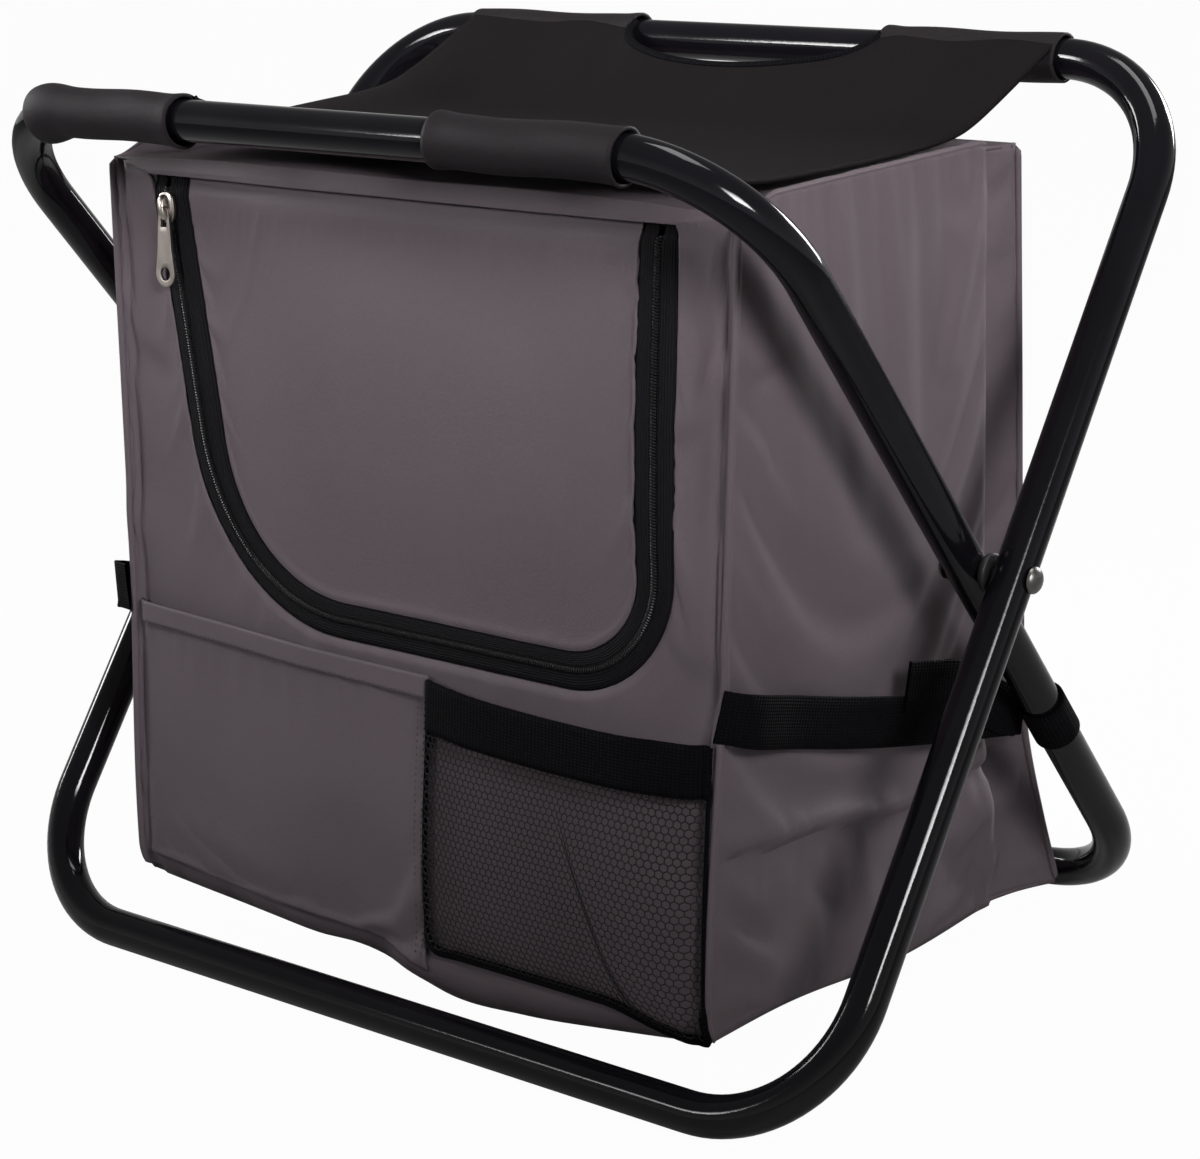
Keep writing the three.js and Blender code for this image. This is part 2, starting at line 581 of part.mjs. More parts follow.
function strapBand(sign, from, to, standOff, rise) {
  const near = [];
  const far = [];
  for (let i = 0; i <= STRAP_STEPS; i += 1) {
    const run = from + ((to - from) * i) / STRAP_STEPS;
    near.push([sign * (strapBow(run) + standOff), run]);
    far.unshift([sign * (strapBow(run) + standOff + WEBBING), run]);
  }
  return extruded(polygon([...near, ...far]), STRAP_WIDTH).translate(0, 0, rise - STRAP_WIDTH / 2);
}

for (const [side, sign] of [['right', 1], ['left', -1]]) {
  const strap = new THREE.Group();
  strap.position.set(0, strapFrontY, STRAP_FRONT_HEIGHT);
  strap.rotation.x = strapDip;
  stool.add(strap);
  const tailEnd = strapRun - STRAP_TAIL_SETBACK;
  const tailStart = tailEnd - STRAP_TAIL_LENGTH;
  add(strap, `${side}_strap`, strapBand(sign, 0, strapRun, 0, 0), blackWebbing);
  const tail = strapBand(sign, tailStart, tailEnd, WEBBING + FIT, STRAP_TAIL_RISE);
  add(strap, `${side}_strap_tail`, tail, blackWebbing);
  const loop = extruded(ringShape(sleeveBore, sleeveRadius), STRAP_WIDTH);
  loop.translate((sign * INNER_LOOP_WIDTH) / 2, 0, -STRAP_LEG_REACH - STRAP_WIDTH / 2);
  add(innerFrame, `${side}_strap_loop`, loop, blackWebbing);
}

export default stool;
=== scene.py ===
import bmesh
import bpy
import numpy as np
from mathutils import Matrix


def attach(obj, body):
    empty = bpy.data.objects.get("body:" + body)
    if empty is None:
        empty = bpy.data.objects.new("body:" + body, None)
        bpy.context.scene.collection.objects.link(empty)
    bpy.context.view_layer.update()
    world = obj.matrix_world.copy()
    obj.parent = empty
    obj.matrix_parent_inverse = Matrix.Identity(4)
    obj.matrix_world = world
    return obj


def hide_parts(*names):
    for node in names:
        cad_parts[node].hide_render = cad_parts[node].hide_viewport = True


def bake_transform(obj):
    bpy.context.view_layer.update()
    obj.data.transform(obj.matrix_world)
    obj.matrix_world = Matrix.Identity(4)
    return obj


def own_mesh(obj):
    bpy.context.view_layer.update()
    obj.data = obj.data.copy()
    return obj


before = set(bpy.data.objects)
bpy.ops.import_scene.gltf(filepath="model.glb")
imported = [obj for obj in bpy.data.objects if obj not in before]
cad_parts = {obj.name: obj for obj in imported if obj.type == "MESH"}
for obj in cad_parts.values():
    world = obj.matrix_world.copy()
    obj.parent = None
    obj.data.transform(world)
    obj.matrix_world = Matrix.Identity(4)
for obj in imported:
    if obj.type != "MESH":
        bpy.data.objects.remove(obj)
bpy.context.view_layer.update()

# Camera: it stands a little above the seat, off the stool's right front corner, with a long lens.
# Its place was worked out from where the rails, bends and rivets fall in the photograph.
lens = bpy.data.cameras.new("camera")
lens.sensor_fit = "HORIZONTAL"
lens.sensor_width = 36.0
lens.lens = 90.908
camera = bpy.data.objects.new("camera", lens)
bpy.context.collection.objects.link(camera)
camera.matrix_world = Matrix((
    (0.77598, -0.14813, 0.61311, 0.778547),
    (0.62909, 0.25226, -0.73526, -0.920516),
    (-0.04575, 0.95625, 0.28894, 0.514930),
    (0, 0, 0, 1),
))
bpy.context.scene.camera = camera

# Frame loops: two closed loops of 16 mm steel tube, bent on 56 mm radii and sprayed with gloss black enamel.
# The inner loop ends in the front rail and the outer loop in the rear rail; their legs cross at the rivets.
TUBE_RADIUS = 8.05
INNER_WIDTH, OUTER_WIDTH = 380.0, 420.0
BEND = 56.0
RAIL_REACH = 216.5
FOOT_REACH = 223.1
LEG_LEAN = np.radians(37.5)
RIVET_HEIGHT = 185.0


def welded(mesh, near):
    """Joins a mesh's points that lie within a distance in metres."""
    weld = bmesh.new()
    weld.from_mesh(mesh)
    bmesh.ops.remove_doubles(weld, verts=weld.verts, dist=near)
    weld.to_mesh(mesh)
    weld.free()


def surface(name, *grids):
    """One mesh in metres from grids of points in millimetres, each grid alone or with its flat lengths.
    Four neighbours make a face, which looks where (row step) x (column step) points; coinciding points are
    welded. The UV map holds millimetres along rows and columns, or the flat lengths where they are given."""
    points, faces, lengths, count = [], [], [], 0
    for grid in grids:
        grid, flat = grid if isinstance(grid, tuple) else (grid, None)
        rows, columns = grid.shape[:2]
        if flat is None:
            steps = [np.linalg.norm(np.diff(grid, axis=a), axis=2).mean(axis=1 - a) for a in (0, 1)]
            along = [np.concatenate([[0.0], np.cumsum(step)]) for step in steps]
            flat = np.stack(np.meshgrid(*along, indexing="ij"), -1)
        i, j = np.meshgrid(np.arange(rows - 1), np.arange(columns - 1), indexing="ij")
        low = (i * columns + j).ravel()
        quads = np.stack([low, low + columns, low + columns + 1, low + 1], -1)
        points.append(grid.reshape(-1, 3))
        lengths.append(flat.reshape(-1, 2)[quads].reshape(-1, 2))
        faces.append(quads + count)
        count += rows * columns
    mesh = bpy.data.meshes.new(name)
    mesh.from_pydata(np.concatenate(points) * 0.001, [], np.concatenate(faces))
    cut = mesh.uv_layers.new(name="cut")
    cut.data.foreach_set("uv", np.concatenate(lengths).astype(np.float32).ravel())
    welded(mesh, 2e-6)
    mesh.shade_smooth()
    mesh.set_sharp_from_angle(angle=0.9)
    return mesh


def piece(mesh, material, slot, body, *nodes, wall=0.0):
    """An object at the origin for a mesh, riding on a body in place of its nodes. A sheet gets its wall,
    in millimetres, on the side that its faces look away from."""
    made = bpy.data.objects.new(mesh.name, mesh)
    bpy.context.collection.objects.link(made)
    mesh.materials.append(material)
    if wall:
        thick = made.modifiers.new("wall", "SOLIDIFY")
        thick.thickness = wall * 0.001
        thick.offset = -1.0
    if body:
        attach(made, body)
    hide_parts(*nodes)
    return made


def unit(vectors):
    """Vectors of length one in the same directions."""
    return vectors / np.linalg.norm(vectors, axis=-1, keepdims=True)


def swept(path, across, section):
    """A section carried along a path: each ring is the path's point, plus the section's first distances along
    across and its second ones square to both. A section may change from ring to ring."""
    tangent = unit(np.gradient(path, axis=0))
    square = np.cross(across, tangent)
    section = np.broadcast_to(section, (len(path),) + section.shape[-2:])
    return path[:, None] + section[..., :1] * across[:, None] + section[..., 1:] * square[:, None]


def oval(wide, high, sides):
    """A closed oval section: half widths times the cosine and sine of a full turn."""
    turn = np.linspace(0, 2 * np.pi, sides + 1)
    return np.stack([wide * np.cos(turn), high * np.sin(turn)], -1)


def leant(across, reach, lean):
    """A point of a loop's own plane, across it and up its legs, leant about the line of the rivets."""
    reach = reach + 0 * across
    return np.stack([across + 0 * reach, -reach * np.sin(lean), reach * np.cos(lean)], -1)


def loop_tube(width, lean):
    """A round section carried along four quarter bends joined by straights, in a leaning plane."""
    half = width / 2 - BEND
    turn = np.linspace(0, np.pi / 2, 25)
    turns = np.concatenate([turn + quarter * np.pi / 2 for quarter in range(4)])
    corner_x = np.repeat([half, -half, -half, half], len(turn))
    corner_reach = np.repeat([RAIL_REACH - BEND] * 2 + [BEND - FOOT_REACH] * 2, len(turn))
    path = leant(corner_x + BEND * np.cos(turns), corner_reach + BEND * np.sin(turns), lean)
    path[:, 2] += RIVET_HEIGHT
    outward = leant(np.cos(turns), np.sin(turns), lean)
    rings = swept(path, outward, oval(TUBE_RADIUS, TUBE_RADIUS, 32))
    return np.concatenate([rings, rings[:1]])


class Socket:
    """One node's output, so that shader sums read as sums: each operator adds a Math node."""

    def __init__(self, tree, link=None):
        self.tree, self.link = tree, link

    def node(self, kind, settings, sockets, out=0):
        """Adds a node: its settings are set first, and then its sockets take their values or links."""
        made = self.tree.nodes.new("ShaderNode" + kind)
        for name, value in settings.items():
            setattr(made, name, value)
        for name, value in sockets.items():
            if isinstance(value, Socket):
                self.tree.links.new(value.link, made.inputs[name])
            else:
                made.inputs[name].default_value = value
        return Socket(self.tree, made.outputs[out] if made.outputs else None)

    def maths(self, operation, *values):
        """A Math node on values or links, in their order."""
        return self.node("Math", {"operation": operation}, dict(enumerate(values)))

    def __add__(self, other):
        return self.maths("ADD", self, other)

    def __sub__(self, other):
        return self.maths("SUBTRACT", self, other)

    def __rsub__(self, other):
        return self.maths("SUBTRACT", other, self)

    def __mul__(self, other):
        return self.maths("MULTIPLY", self, other)

    __radd__ = __add__
    __rmul__ = __mul__

    def noise(self, scale, detail=3.0):
        """Soft random cloud fixed to the piece, scale per metre, from 0 to 1."""
        place = self.node("TexCoord", {}, {}, "Object")
        return self.node("TexNoise", {}, {"Vector": place, "Scale": scale, "Detail": detail})

    def ridges(self, axis, pitch):
        """Waves along one axis of the cut's millimetres, from -1 to 1, one each pitch."""
        cut = self.node("UVMap", {}, {})
        return self.maths("SINE", self.node("SeparateXYZ", {}, {"Vector": cut}, axis) * (2 * np.pi / pitch))

    def between(self, share, low, high):
        """A colour from low to high by a share from 0 to 1."""
        colours = {0: share, 6: (*low, 1), 7: (*high, 1)}
        return self.node("Mix", {"data_type": "RGBA"}, colours, 2)

    def raised(self, height, depth):
        """A normal bumped by a height from 0 to 1, with its full depth in millimetres."""
        return self.node("Bump", {}, {"Height": height, "Distance": depth * 0.001, "Strength": 1.0})


def finish(name, sockets_of):
    """A material whose principled shader takes the values and links that sockets_of makes in its tree."""
    made = bpy.data.materials.new(name)
    made.use_nodes = True
    made.node_tree.nodes.clear()
    shade = Socket(made.node_tree)
    shader = shade.node("BsdfPrincipled", {}, sockets_of(shade))
    shade.node("OutputMaterial", {}, {"Surface": shader})
    return made


def enamel(shade):
    """Sprayed gloss black: fine orange peel in the normal, handling haze in the roughness."""
    haze = shade.noise(28.0, 5.0)
    return {
        "Base Color": shade.between(haze, (0.003, 0.003, 0.004), (0.007, 0.006, 0.008)),
        "Roughness": 0.05 + 0.09 * haze,
        "Specular IOR Level": 0.25,
        "Normal": shade.raised(shade.noise(420.0, 2.0), 0.02),
    }


black_enamel = finish("black_enamel", enamel)
for name, body, node, width, lean in (
    ("inner_loop", "inner_frame", "inner_frame_tube", INNER_WIDTH, LEG_LEAN),
    ("outer_loop", "outer_frame", "outer_frame_tube", OUTER_WIDTH, -LEG_LEAN),
):
    piece(surface(name, loop_tube(width, lean)), black_enamel, "black_paint", body, node)

# Rivets and spacers: a nickelled steel rivet through each pair of crossing legs, domed over on both ends.
# A black nylon ring round its shank keeps the legs apart.
RIVET_IN, RIVET_OUT = INNER_WIDTH / 2 - 8.6, OUTER_WIDTH / 2 + 8.6
RIVET_SHANK, HEAD_RISE = 2.35, 2.9
SPACER_BORE, SPACER_HALF = 2.9, 1.4


def turned(profile, side):
    """A profile of (radius, distance along X) turned through a full turn about the rivets' line."""
    profile = np.array(profile, float)
    turn = np.linspace(0, 2 * np.pi, 33)[None]
    radius, along = profile[:, :1], profile[:, 1:]
    rings = [side * along + 0 * turn, radius * np.cos(turn), RIVET_HEIGHT + side * radius * np.sin(turn)]
    return np.stack(rings, -1)[::-1]


def plated(low, high):
    """Brushed plating: metal with cloudy gloss and hairline scratches, from a dull colour to a bright one."""

    def sockets(shade):
        cloud = shade.noise(160.0, 4.0)
        return {
            "Base Color": shade.between(cloud, low, high),
            "Metallic": 1.0,
            "Roughness": 0.24 + 0.22 * cloud,
            "Normal": shade.raised(shade.noise(900.0, 2.0), 0.01),
        }

    return sockets


def nylon(shade):
    """Moulded black nylon with a fine spark finish."""
    return {
        "Base Color": (0.008, 0.008, 0.009, 1),
        "Roughness": 0.42 + 0.2 * shade.noise(90.0),
        "Normal": shade.raised(shade.noise(1500.0), 0.03),
    }


rivet_steel = finish("rivet_steel", plated((0.14, 0.135, 0.13), (0.24, 0.23, 0.22)))
black_nylon = finish("black_nylon", nylon)
bulge = np.linspace(0, np.pi / 2, 9)
inner_head = np.stack([5.0 * np.sin(bulge), RIVET_IN - HEAD_RISE * np.cos(bulge)], -1)
outer_head = np.stack([5.2 * np.cos(bulge), RIVET_OUT + HEAD_RISE * np.sin(bulge)], -1)
shank = [[RIVET_SHANK, RIVET_IN], [RIVET_SHANK, RIVET_OUT]]
rivet = np.concatenate([inner_head, shank, outer_head])
spacer_edge = [[7.1, -SPACER_HALF], [7.5, -1.0], [7.5, 1.0], [7.1, SPACER_HALF]]
spacer_bore = [[SPACER_BORE, SPACER_HALF], [SPACER_BORE, -SPACER_HALF]]
spacer = np.array([spacer_bore[1], *spacer_edge, *spacer_bore]) + [0, (INNER_WIDTH + OUTER_WIDTH) / 4]
for name, side in (("right", 1), ("left", -1)):
    shape = surface(f"{name}_rivet", turned(rivet, side))
    piece(shape, rivet_steel, "rivet_steel", "outer_frame", f"{name}_pivot_rivet")
    shape = surface(f"{name}_spacer", turned(spacer, side))
    piece(shape, black_nylon, "black_plastic", "outer_frame", f"{name}_pivot_spacer")

# Bag cloth: warm grey coated polyester, cut in panels and sewn along the four upright corners, base and top.
# Slack shows as a belly at the foot, folded rear corners, a pinched seam low on the sides and loose creases.
FACE_LEAN = np.radians(4.205)
FACE_OUT = np.array([0.0, -np.cos(FACE_LEAN), np.sin(FACE_LEAN)])
FACE_Y, FACE_Z = -117.0, 18.0
FOOT_HALF, TOP_HALF = 150.8, 158.5
BAG_CLOTH, THREAD_PITCH = 1.5, 0.9
SETTLING_STEPS = 20


def through(places, values, at):
    """A smooth curve through given values: cubic pieces whose slopes are the mean slopes at each place."""
    places, values = np.array(places, float), np.array(values, float)
    slopes = np.gradient(values, places)
    at = np.clip(at, places[0], places[-1])
    k = np.clip(np.searchsorted(places, at, side="right") - 1, 0, len(places) - 2)
    span = places[k + 1] - places[k]
    s = (at - places[k]) / span
    ends = values[k] * (1 + 2 * s) * (1 - s) ** 2 + values[k + 1] * s**2 * (3 - 2 * s)
    return ends + span * (slopes[k] * s * (1 - s) ** 2 - slopes[k + 1] * s**2 * (1 - s))


def hump(distance, width):
    """A soft hump of height one: the bell curve of a distance over a width."""
    return np.exp(-((distance / width) ** 2))


def crease(a, b, start, end, width):
    """A soft ridge of height one along a straight line between two places, fading near and past its ends."""
    run = np.array(end, float) - np.array(start, float)
    share = ((a - start[0]) * run[0] + (b - start[1]) * run[1]) / (run @ run)
    held = np.clip(share, 0, 1)
    away = np.hypot(a - start[0] - held * run[0], b - start[1] - held * run[1])
    return hump(away, width) * (1 - np.clip(2 * np.abs(share - 0.5) - 0.6, 0, 1))


def creases(a, b, *lines):
    """The sum of creases, each given by its height, its two ends and its width."""
    return sum(height * crease(a, b, start, end, width) for height, start, end, width in lines)


def half_width(up):
    """Half the bag's width, which grows a little from foot to top."""
    return 150.5 + 8.0 * np.clip(up / 313.0, 0, 1)


def front_foot(x):
    """How far up the front face the sagging base seam lies."""
    return through([-158, -100, -61, -5, 21, 60, 110, 158], [12, 8, 6, 3, -4, -3, 3, 9], x)


def front_top(x):
    """How far up the front face the top seam lies."""
    return through([-159, -120, 0, 120, 159], [315, 316.4, 316.6, 316, 313.5], x)


def eased(value):
    """A share from 0 to 1 that starts and ends gently."""
    value = np.clip(value, 0, 1)
    return value * value * (3 - 2 * value)


def front_swell(x, up):
    """How far the front stands out: a padded crown right of the slider's run, a belly at the foot that rolls
    under, a stitched groove beside each corner seam, and listed dents and creases."""
    height = through([-10, 60, 120, 142, 205, 285, 317], [0.2, 0.5, 0.36, 0.36, 1.0, 0.75, 0.3], up)
    crown = 7.2 * eased((x + 105) / 64) * eased((162 - x) / 62) * height
    belly = 4.0 * hump(up - 40, 75)
    roll = -6.0 * np.clip((13 - up + front_foot(x)) / 15, 0, 1) ** 2
    inset = half_width(up) - np.abs(x)
    rim = -2.6 * np.clip((9.5 - inset) / 5, 0, 1) ** 2 + 1.8 * eased((4.6 - inset) / 1.8)
    dent = -2.4 * hump(np.hypot((x + 25) / 1.3, up - 205), 44)
    bump = 1.6 * hump(np.hypot(x - 66, (up - 200) / 1.5), 36)
    slack = creases(
        x, up,
        (-1.6, (-40, 296), (70, 268), 20), (-2.2, (140, 296), (141, 205), 8),
        (2.0, (150, 262), (136, 236), 5), (-1.6, (-148, 236), (-131, 226), 6),
        (-1.8, (152, 150), (128, 120), 9), (1.4, (-150, 170), (-120, 140), 10),
        (2.4, (-2, 4), (24, 16), 8), (-2.0, (-40, 2), (-8, 12), 7),
    )
    return crown + belly + roll + rim + dent + bump + slack


def on_face(x, up, out):
    """A place by the plane that the bag's front leans in: across, up the face, and out from it."""
    y = FACE_Y + up * np.sin(FACE_LEAN) - out * np.cos(FACE_LEAN)
    return np.stack([x, y, FACE_Z + up * np.cos(FACE_LEAN) + out * np.sin(FACE_LEAN)], -1)


def on_front(x, up, out=0.0):
    """A place on the bag's front: across, up the face, and out from its swelling cloth."""
    x, up, out = np.broadcast_arrays(np.asarray(x, float), up, out)
    return on_face(x, up, out + front_swell(x, up))


def corner_up(side, t):
    """How far up the face a place of an upright front seam is, from the base at t 0 to the top at t 1."""
    foot, top = front_foot(side * 155.0), front_top(side * 158.0)
    return foot + t * (top - foot)


def front_corner(side, t):
    """The upright front seam on one side, at the bag's half width."""
    up = corner_up(side, t)
    return on_front(side * half_width(up), up)


def rear_corner(side, t):
    """The upright rear seam: it pulls in above the base, where the cloth is slack, and flares at the foot."""
    z = 9.5 + t * 318
    x = through([9, 40, 78, 140, 240, 328], [156.5, 151.5, 147, 146, 147.5, 150], z)
    y = through([9, 40, 78, 140, 240, 328], [118.5, 114, 109, 107.5, 105, 101], z)
    return np.stack([side * x, y, z], -1)


def side_seam(y, z):
    """How far above the side's low cross seam a place is; the seam drops towards the rear."""
    return z - through([-130, -100, -46, 4, 59, 120], [101, 94, 87, 78, 77, 74], y)


def side_stand(s):
    """How far the side's top edge stands above the top panel, dying away towards both upright seams."""
    return 6.5 * eased(s / 0.12) * eased((0.86 - s) / 0.06)


def side_wall(side, s, t):
    """The side panel between its front seam (s 0) and rear seam (s 1): flat to a folded edge near the rear,
    then set back in a strip. A pinched seam crosses it low down, with puckers under it and creases above."""
    front, rear = front_corner(side, t), rear_corner(side, t)
    place = front + s[..., None] * (rear - front)
    y, z = place[..., 1], place[..., 2]
    behind = np.clip((s - 0.83) / 0.17, 0, 1)
    step = eased((s - 0.812) / 0.02)
    flat = front[..., 0] * (1 - step) + step * (rear[..., 0] - side * (8.0 - 8.0 * behind**1.4))
    seam = side_seam(y, z)
    edge = np.clip(np.minimum(s, 1 - s) / 0.05, 0, 1)
    ends = np.clip(np.minimum(t, 1 - t) / 0.06, 0, 1)
    belly = 3.2 * np.sin(np.pi * np.clip(s / 0.82, 0, 1)) ** 0.7 * np.sin(np.pi * np.clip(t, 0, 1)) ** 0.5
    pinch = -2.6 * hump(seam, 2.6) + 1.6 * hump(seam - 8, 6) + 3.0 * hump(seam + 14, 11)
    fold = 1.3 * hump(s - 0.80, 0.016) - 2.0 * hump(s - 0.90, 0.05) * np.clip((z - 60) / 40, 0, 1)
    slack = creases(
        y, z,
        (-2.6, (-122, 92), (-88, 60), 5), (1.6, (-112, 70), (-82, 48), 6),
        (-1.7, (-66, 78), (-30, 50), 6), (1.5, (-40, 40), (10, 60), 9),
        (2.8, (56, 70), (86, 14), 8), (-2.2, (30, 62), (66, 16), 9),
        (-2.0, (-64, 300), (6, 190), 13), (1.4, (-40, 312), (20, 212), 11),
        (-1.6, (22, 292), (17, 205), 8), (1.5, (42, 300), (36, 190), 9),
        (-2.0, (-98, 262), (-72, 276), 6), (1.4, (-99, 250), (-76, 246), 6),
        (-1.5, (-104, 168), (-60, 205), 7), (1.2, (60, 130), (40, 175), 8),
    )
    out = (belly + pinch + fold + slack) * edge * (0.25 + 0.75 * ends)
    place[..., 0] = flat + side * out
    place[..., 2] += 3.0 * np.sin(np.pi * s) * (1 - t) ** 6 * np.cos(7 * s - 0.6)
    place[..., 2] += side_stand(s) * t**10
    return place


def rear_wall(s, t):
    """The rear panel between its two seams: crowned, sagging at the foot, with shallow upright folds."""
    left, right = rear_corner(-1, t), rear_corner(1, t)
    place = right + s[..., None] * (left - right)
    held = np.sin(np.pi * s) ** 0.6 * np.sin(np.pi * np.clip(t, 0, 1)) ** 0.4
    x, z = place[..., 0], place[..., 2]
    folds = creases(
        x, z,
        (1.6, (-90, 290), (-70, 120), 14), (-1.8, (60, 300), (85, 150), 13),
        (1.8, (-120, 90), (-60, 40), 12), (-1.6, (20, 100), (110, 50), 13),
    )
    place[..., 1] += (3.0 + folds) * held
    place[..., 2] -= 3.0 * np.sin(np.pi * s) * (1 - t) ** 5
    return place


def filled(foot, top, left, right):
    """A sheet filled in between four edges: the sum of the two ruled sheets less the one ruled through the
    corners."""
    s = np.linspace(0, 1, len(foot))[:, None, None]
    t = np.linspace(0, 1, len(left))[None, :, None]
    both = (1 - t) * foot[:, None] + t * top[:, None] + (1 - s) * left[None] + s * right[None]
    low = (1 - s) * foot[0] + s * foot[-1]
    high = (1 - s) * top[0] + s * top[-1]
    return both - (1 - t) * low - t * high


def coated_cloth(low, high, gloss, shine):
    """Coated plain weave: crossed ridges at the thread pitch, slubs, and broad cloudy shading."""

    def sockets(shade):
        weave = shade.ridges("X", THREAD_PITCH) * shade.ridges("Y", THREAD_PITCH)
        slub = shade.noise(700.0, 2.0)
        cloud = shade.noise(14.0, 4.0)
        share = 0.42 * cloud + 0.34 * slub + 0.06 * weave + 0.12
        return {
            "Base Color": shade.between(share, low, high),
            "Roughness": gloss + 0.14 * slub,
            "Specular IOR Level": shine,
            "Normal": shade.raised(0.5 + 0.22 * weave + 0.5 * slub, 0.16),
        }

    return sockets


def values_of(items, name, width, kind=np.float32):
    """One value of every item of a mesh, such as its points' places, as one flat array."""
    values = np.empty(width * len(items), kind)
    items.foreach_get(name, values)
    return values


def settled(mesh, slack, cap, sewn=None, stiff=3.0):
    """Lets a sewn sheet settle: its border and sewn places stay put, the cloth is cut a share larger than
    its seams allow, and it buckles under part of its weight. No point moves further than cap millimetres."""
    ends = values_of(mesh.edges, "vertices", 2, np.int32).reshape(-1, 2)
    uses = values_of(mesh.loops, "edge_index", 1, np.int32)
    border = np.unique(ends[np.bincount(uses, minlength=len(mesh.edges)) == 1])
    if sewn is not None:
        border = np.union1d(border, np.flatnonzero(sewn.ravel()))
    sheet = bpy.data.objects.new("settling", mesh)
    bpy.context.collection.objects.link(sheet)
    sheet.vertex_groups.new(name="sewn").add(border.tolist(), 1.0, "REPLACE")
    cloth = sheet.modifiers.new("cloth", "CLOTH")
    cloth.settings.quality = 7
    cloth.settings.mass = 0.25
    cloth.settings.tension_stiffness = 25
    cloth.settings.compression_stiffness = 25
    cloth.settings.shear_stiffness = 12
    cloth.settings.bending_stiffness = stiff
    cloth.settings.vertex_group_mass = "sewn"
    cloth.settings.shrink_min = -slack
    cloth.settings.effector_weights.gravity = 0.25
    rest = values_of(mesh.vertices, "co", 3)
    for step in range(1, SETTLING_STEPS + 1):
        bpy.context.scene.frame_set(step)
    ready = sheet.evaluated_get(bpy.context.evaluated_depsgraph_get())
    moved = values_of(ready.data.vertices, "co", 3)
    shift = (moved - rest).reshape(-1, 3)
    far = np.linalg.norm(shift, axis=1, keepdims=True) / (cap * 0.001)
    shift = shift * np.tanh(far) / np.maximum(far, 1e-9)
    bpy.data.objects.remove(sheet)
    bpy.context.scene.frame_set(1)
    mesh.vertices.foreach_set("co", rest + shift.astype(np.float32).ravel())
    mesh.update()
    return mesh


grey_weave = coated_cloth((0.086, 0.069, 0.078), (0.150, 0.121, 0.137), gloss=0.56, shine=0.14)
grey_cloth = finish("grey_cloth", grey_weave)


def flattens(made):
    """Makes a soft piece's wall part of a mesh of its own, so that the wall would thin with the rest if the
    piece were flattened, and the layers stay apart."""
    ready = made.evaluated_get(bpy.context.evaluated_depsgraph_get())
    made.data = bpy.data.meshes.new_from_object(ready)
    made.modifiers.clear()
    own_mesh(made)


def over_wall(rows, columns, margin=0.0, rear=1.0):
    """Two parameters spread over a wall, kept short of its edges by a share of its size."""
    s, t = np.linspace(margin, rear - margin, rows), np.linspace(margin, 1 - margin, columns)
    return np.meshgrid(s, t, indexing="ij")


s_way, t_way = over_wall(97, 103)
for name, side in (("right", 1), ("left", -1)):
    wall = side_wall(side, s_way, t_way)
    sewn = (np.abs(side_seam(wall[..., 1], wall[..., 2])) < 1.8) | (np.abs(s_way - 0.806) < 0.006)
    wall, sewn = (wall, sewn) if side > 0 else (wall[::-1], sewn[::-1])
    shape = settled(surface(f"{name}_side_cloth", wall), slack=0.012, cap=3.5, sewn=sewn, stiff=9.0)
    cloth = piece(shape, grey_cloth, "grey_cloth", "cooler_bag", f"{name}_side_panel", wall=BAG_CLOTH)
    flattens(cloth)
shape = settled(surface("rear_cloth", rear_wall(s_way, t_way)), slack=0.014, cap=4.0, stiff=9.0)
cloth = piece(shape, grey_cloth, "grey_cloth", "cooler_bag", "rear_panel", wall=BAG_CLOTH)
flattens(cloth)
edge = np.linspace(0, 1, 97)
bow = np.sin(np.pi * edge)


def between_walls(t, half, seam):
    """The base (t 0) or the top (t 1), filled in between the front's seam and the other walls' edges."""
    x = half * (2 * edge - 1)
    front = on_front(x, seam(x))
    front[0], front[-1] = front_corner(-1, t), front_corner(1, t)
    level = t + 0 * edge
    return filled(front, rear_wall(1 - edge, level), side_wall(-1, edge, level), side_wall(1, edge, level))


base = between_walls(0.0, FOOT_HALF, front_foot).swapaxes(0, 1)
base[..., 2] -= 2.5 * bow[:, None] * bow
shape = surface("base_cloth", base)
cloth = piece(shape, grey_cloth, "grey_cloth", "cooler_bag", "base_panel", wall=BAG_CLOTH)
flattens(cloth)
top = between_walls(1.0, TOP_HALF, front_top)
held = eased((0.5 - np.abs(edge - 0.5)) / 0.025)
top[..., 2] -= held[:, None] * (side_stand(edge) + 1.5 * bow)
cloth = piece(surface("top_cloth", top), grey_cloth, "grey_cloth", "cooler_bag", "top_panel", wall=BAG_CLOTH)
flattens(cloth)

# Front panel: one piece of the grey cloth with the flap's mouth cut out, its edges turned in to the zip.
# A turned hem along the top covers the line where the flap is sewn in.
FLAP_TOP = 305.7
HEM_EDGE = 309.6
ZIP_HALF = 8.0
ZIP_LEFT, ZIP_RIGHT = -127.0, 126.0
COUNTS = (56, 65, 56, 57)
SLANT = np.radians(10.0)


def evenly(points, count):
    """The same line with its points spread evenly along its length."""
    length = np.concatenate([[0.0], np.cumsum(np.linalg.norm(np.diff(points, axis=0), axis=1))])
    places = np.linspace(0, length[-1], count)
    return np.stack([np.interp(places, length, points[:, k]) for k in range(points.shape[1])], -1)


def bend(middle, radii, first, last):
    """Places round a middle between two angles in degrees, each at its own radius."""
    turn = np.radians(np.linspace(first, last, len(radii)))
    return np.stack([middle[0] + radii * np.cos(turn), middle[1] + radii * np.sin(turn)], -1)


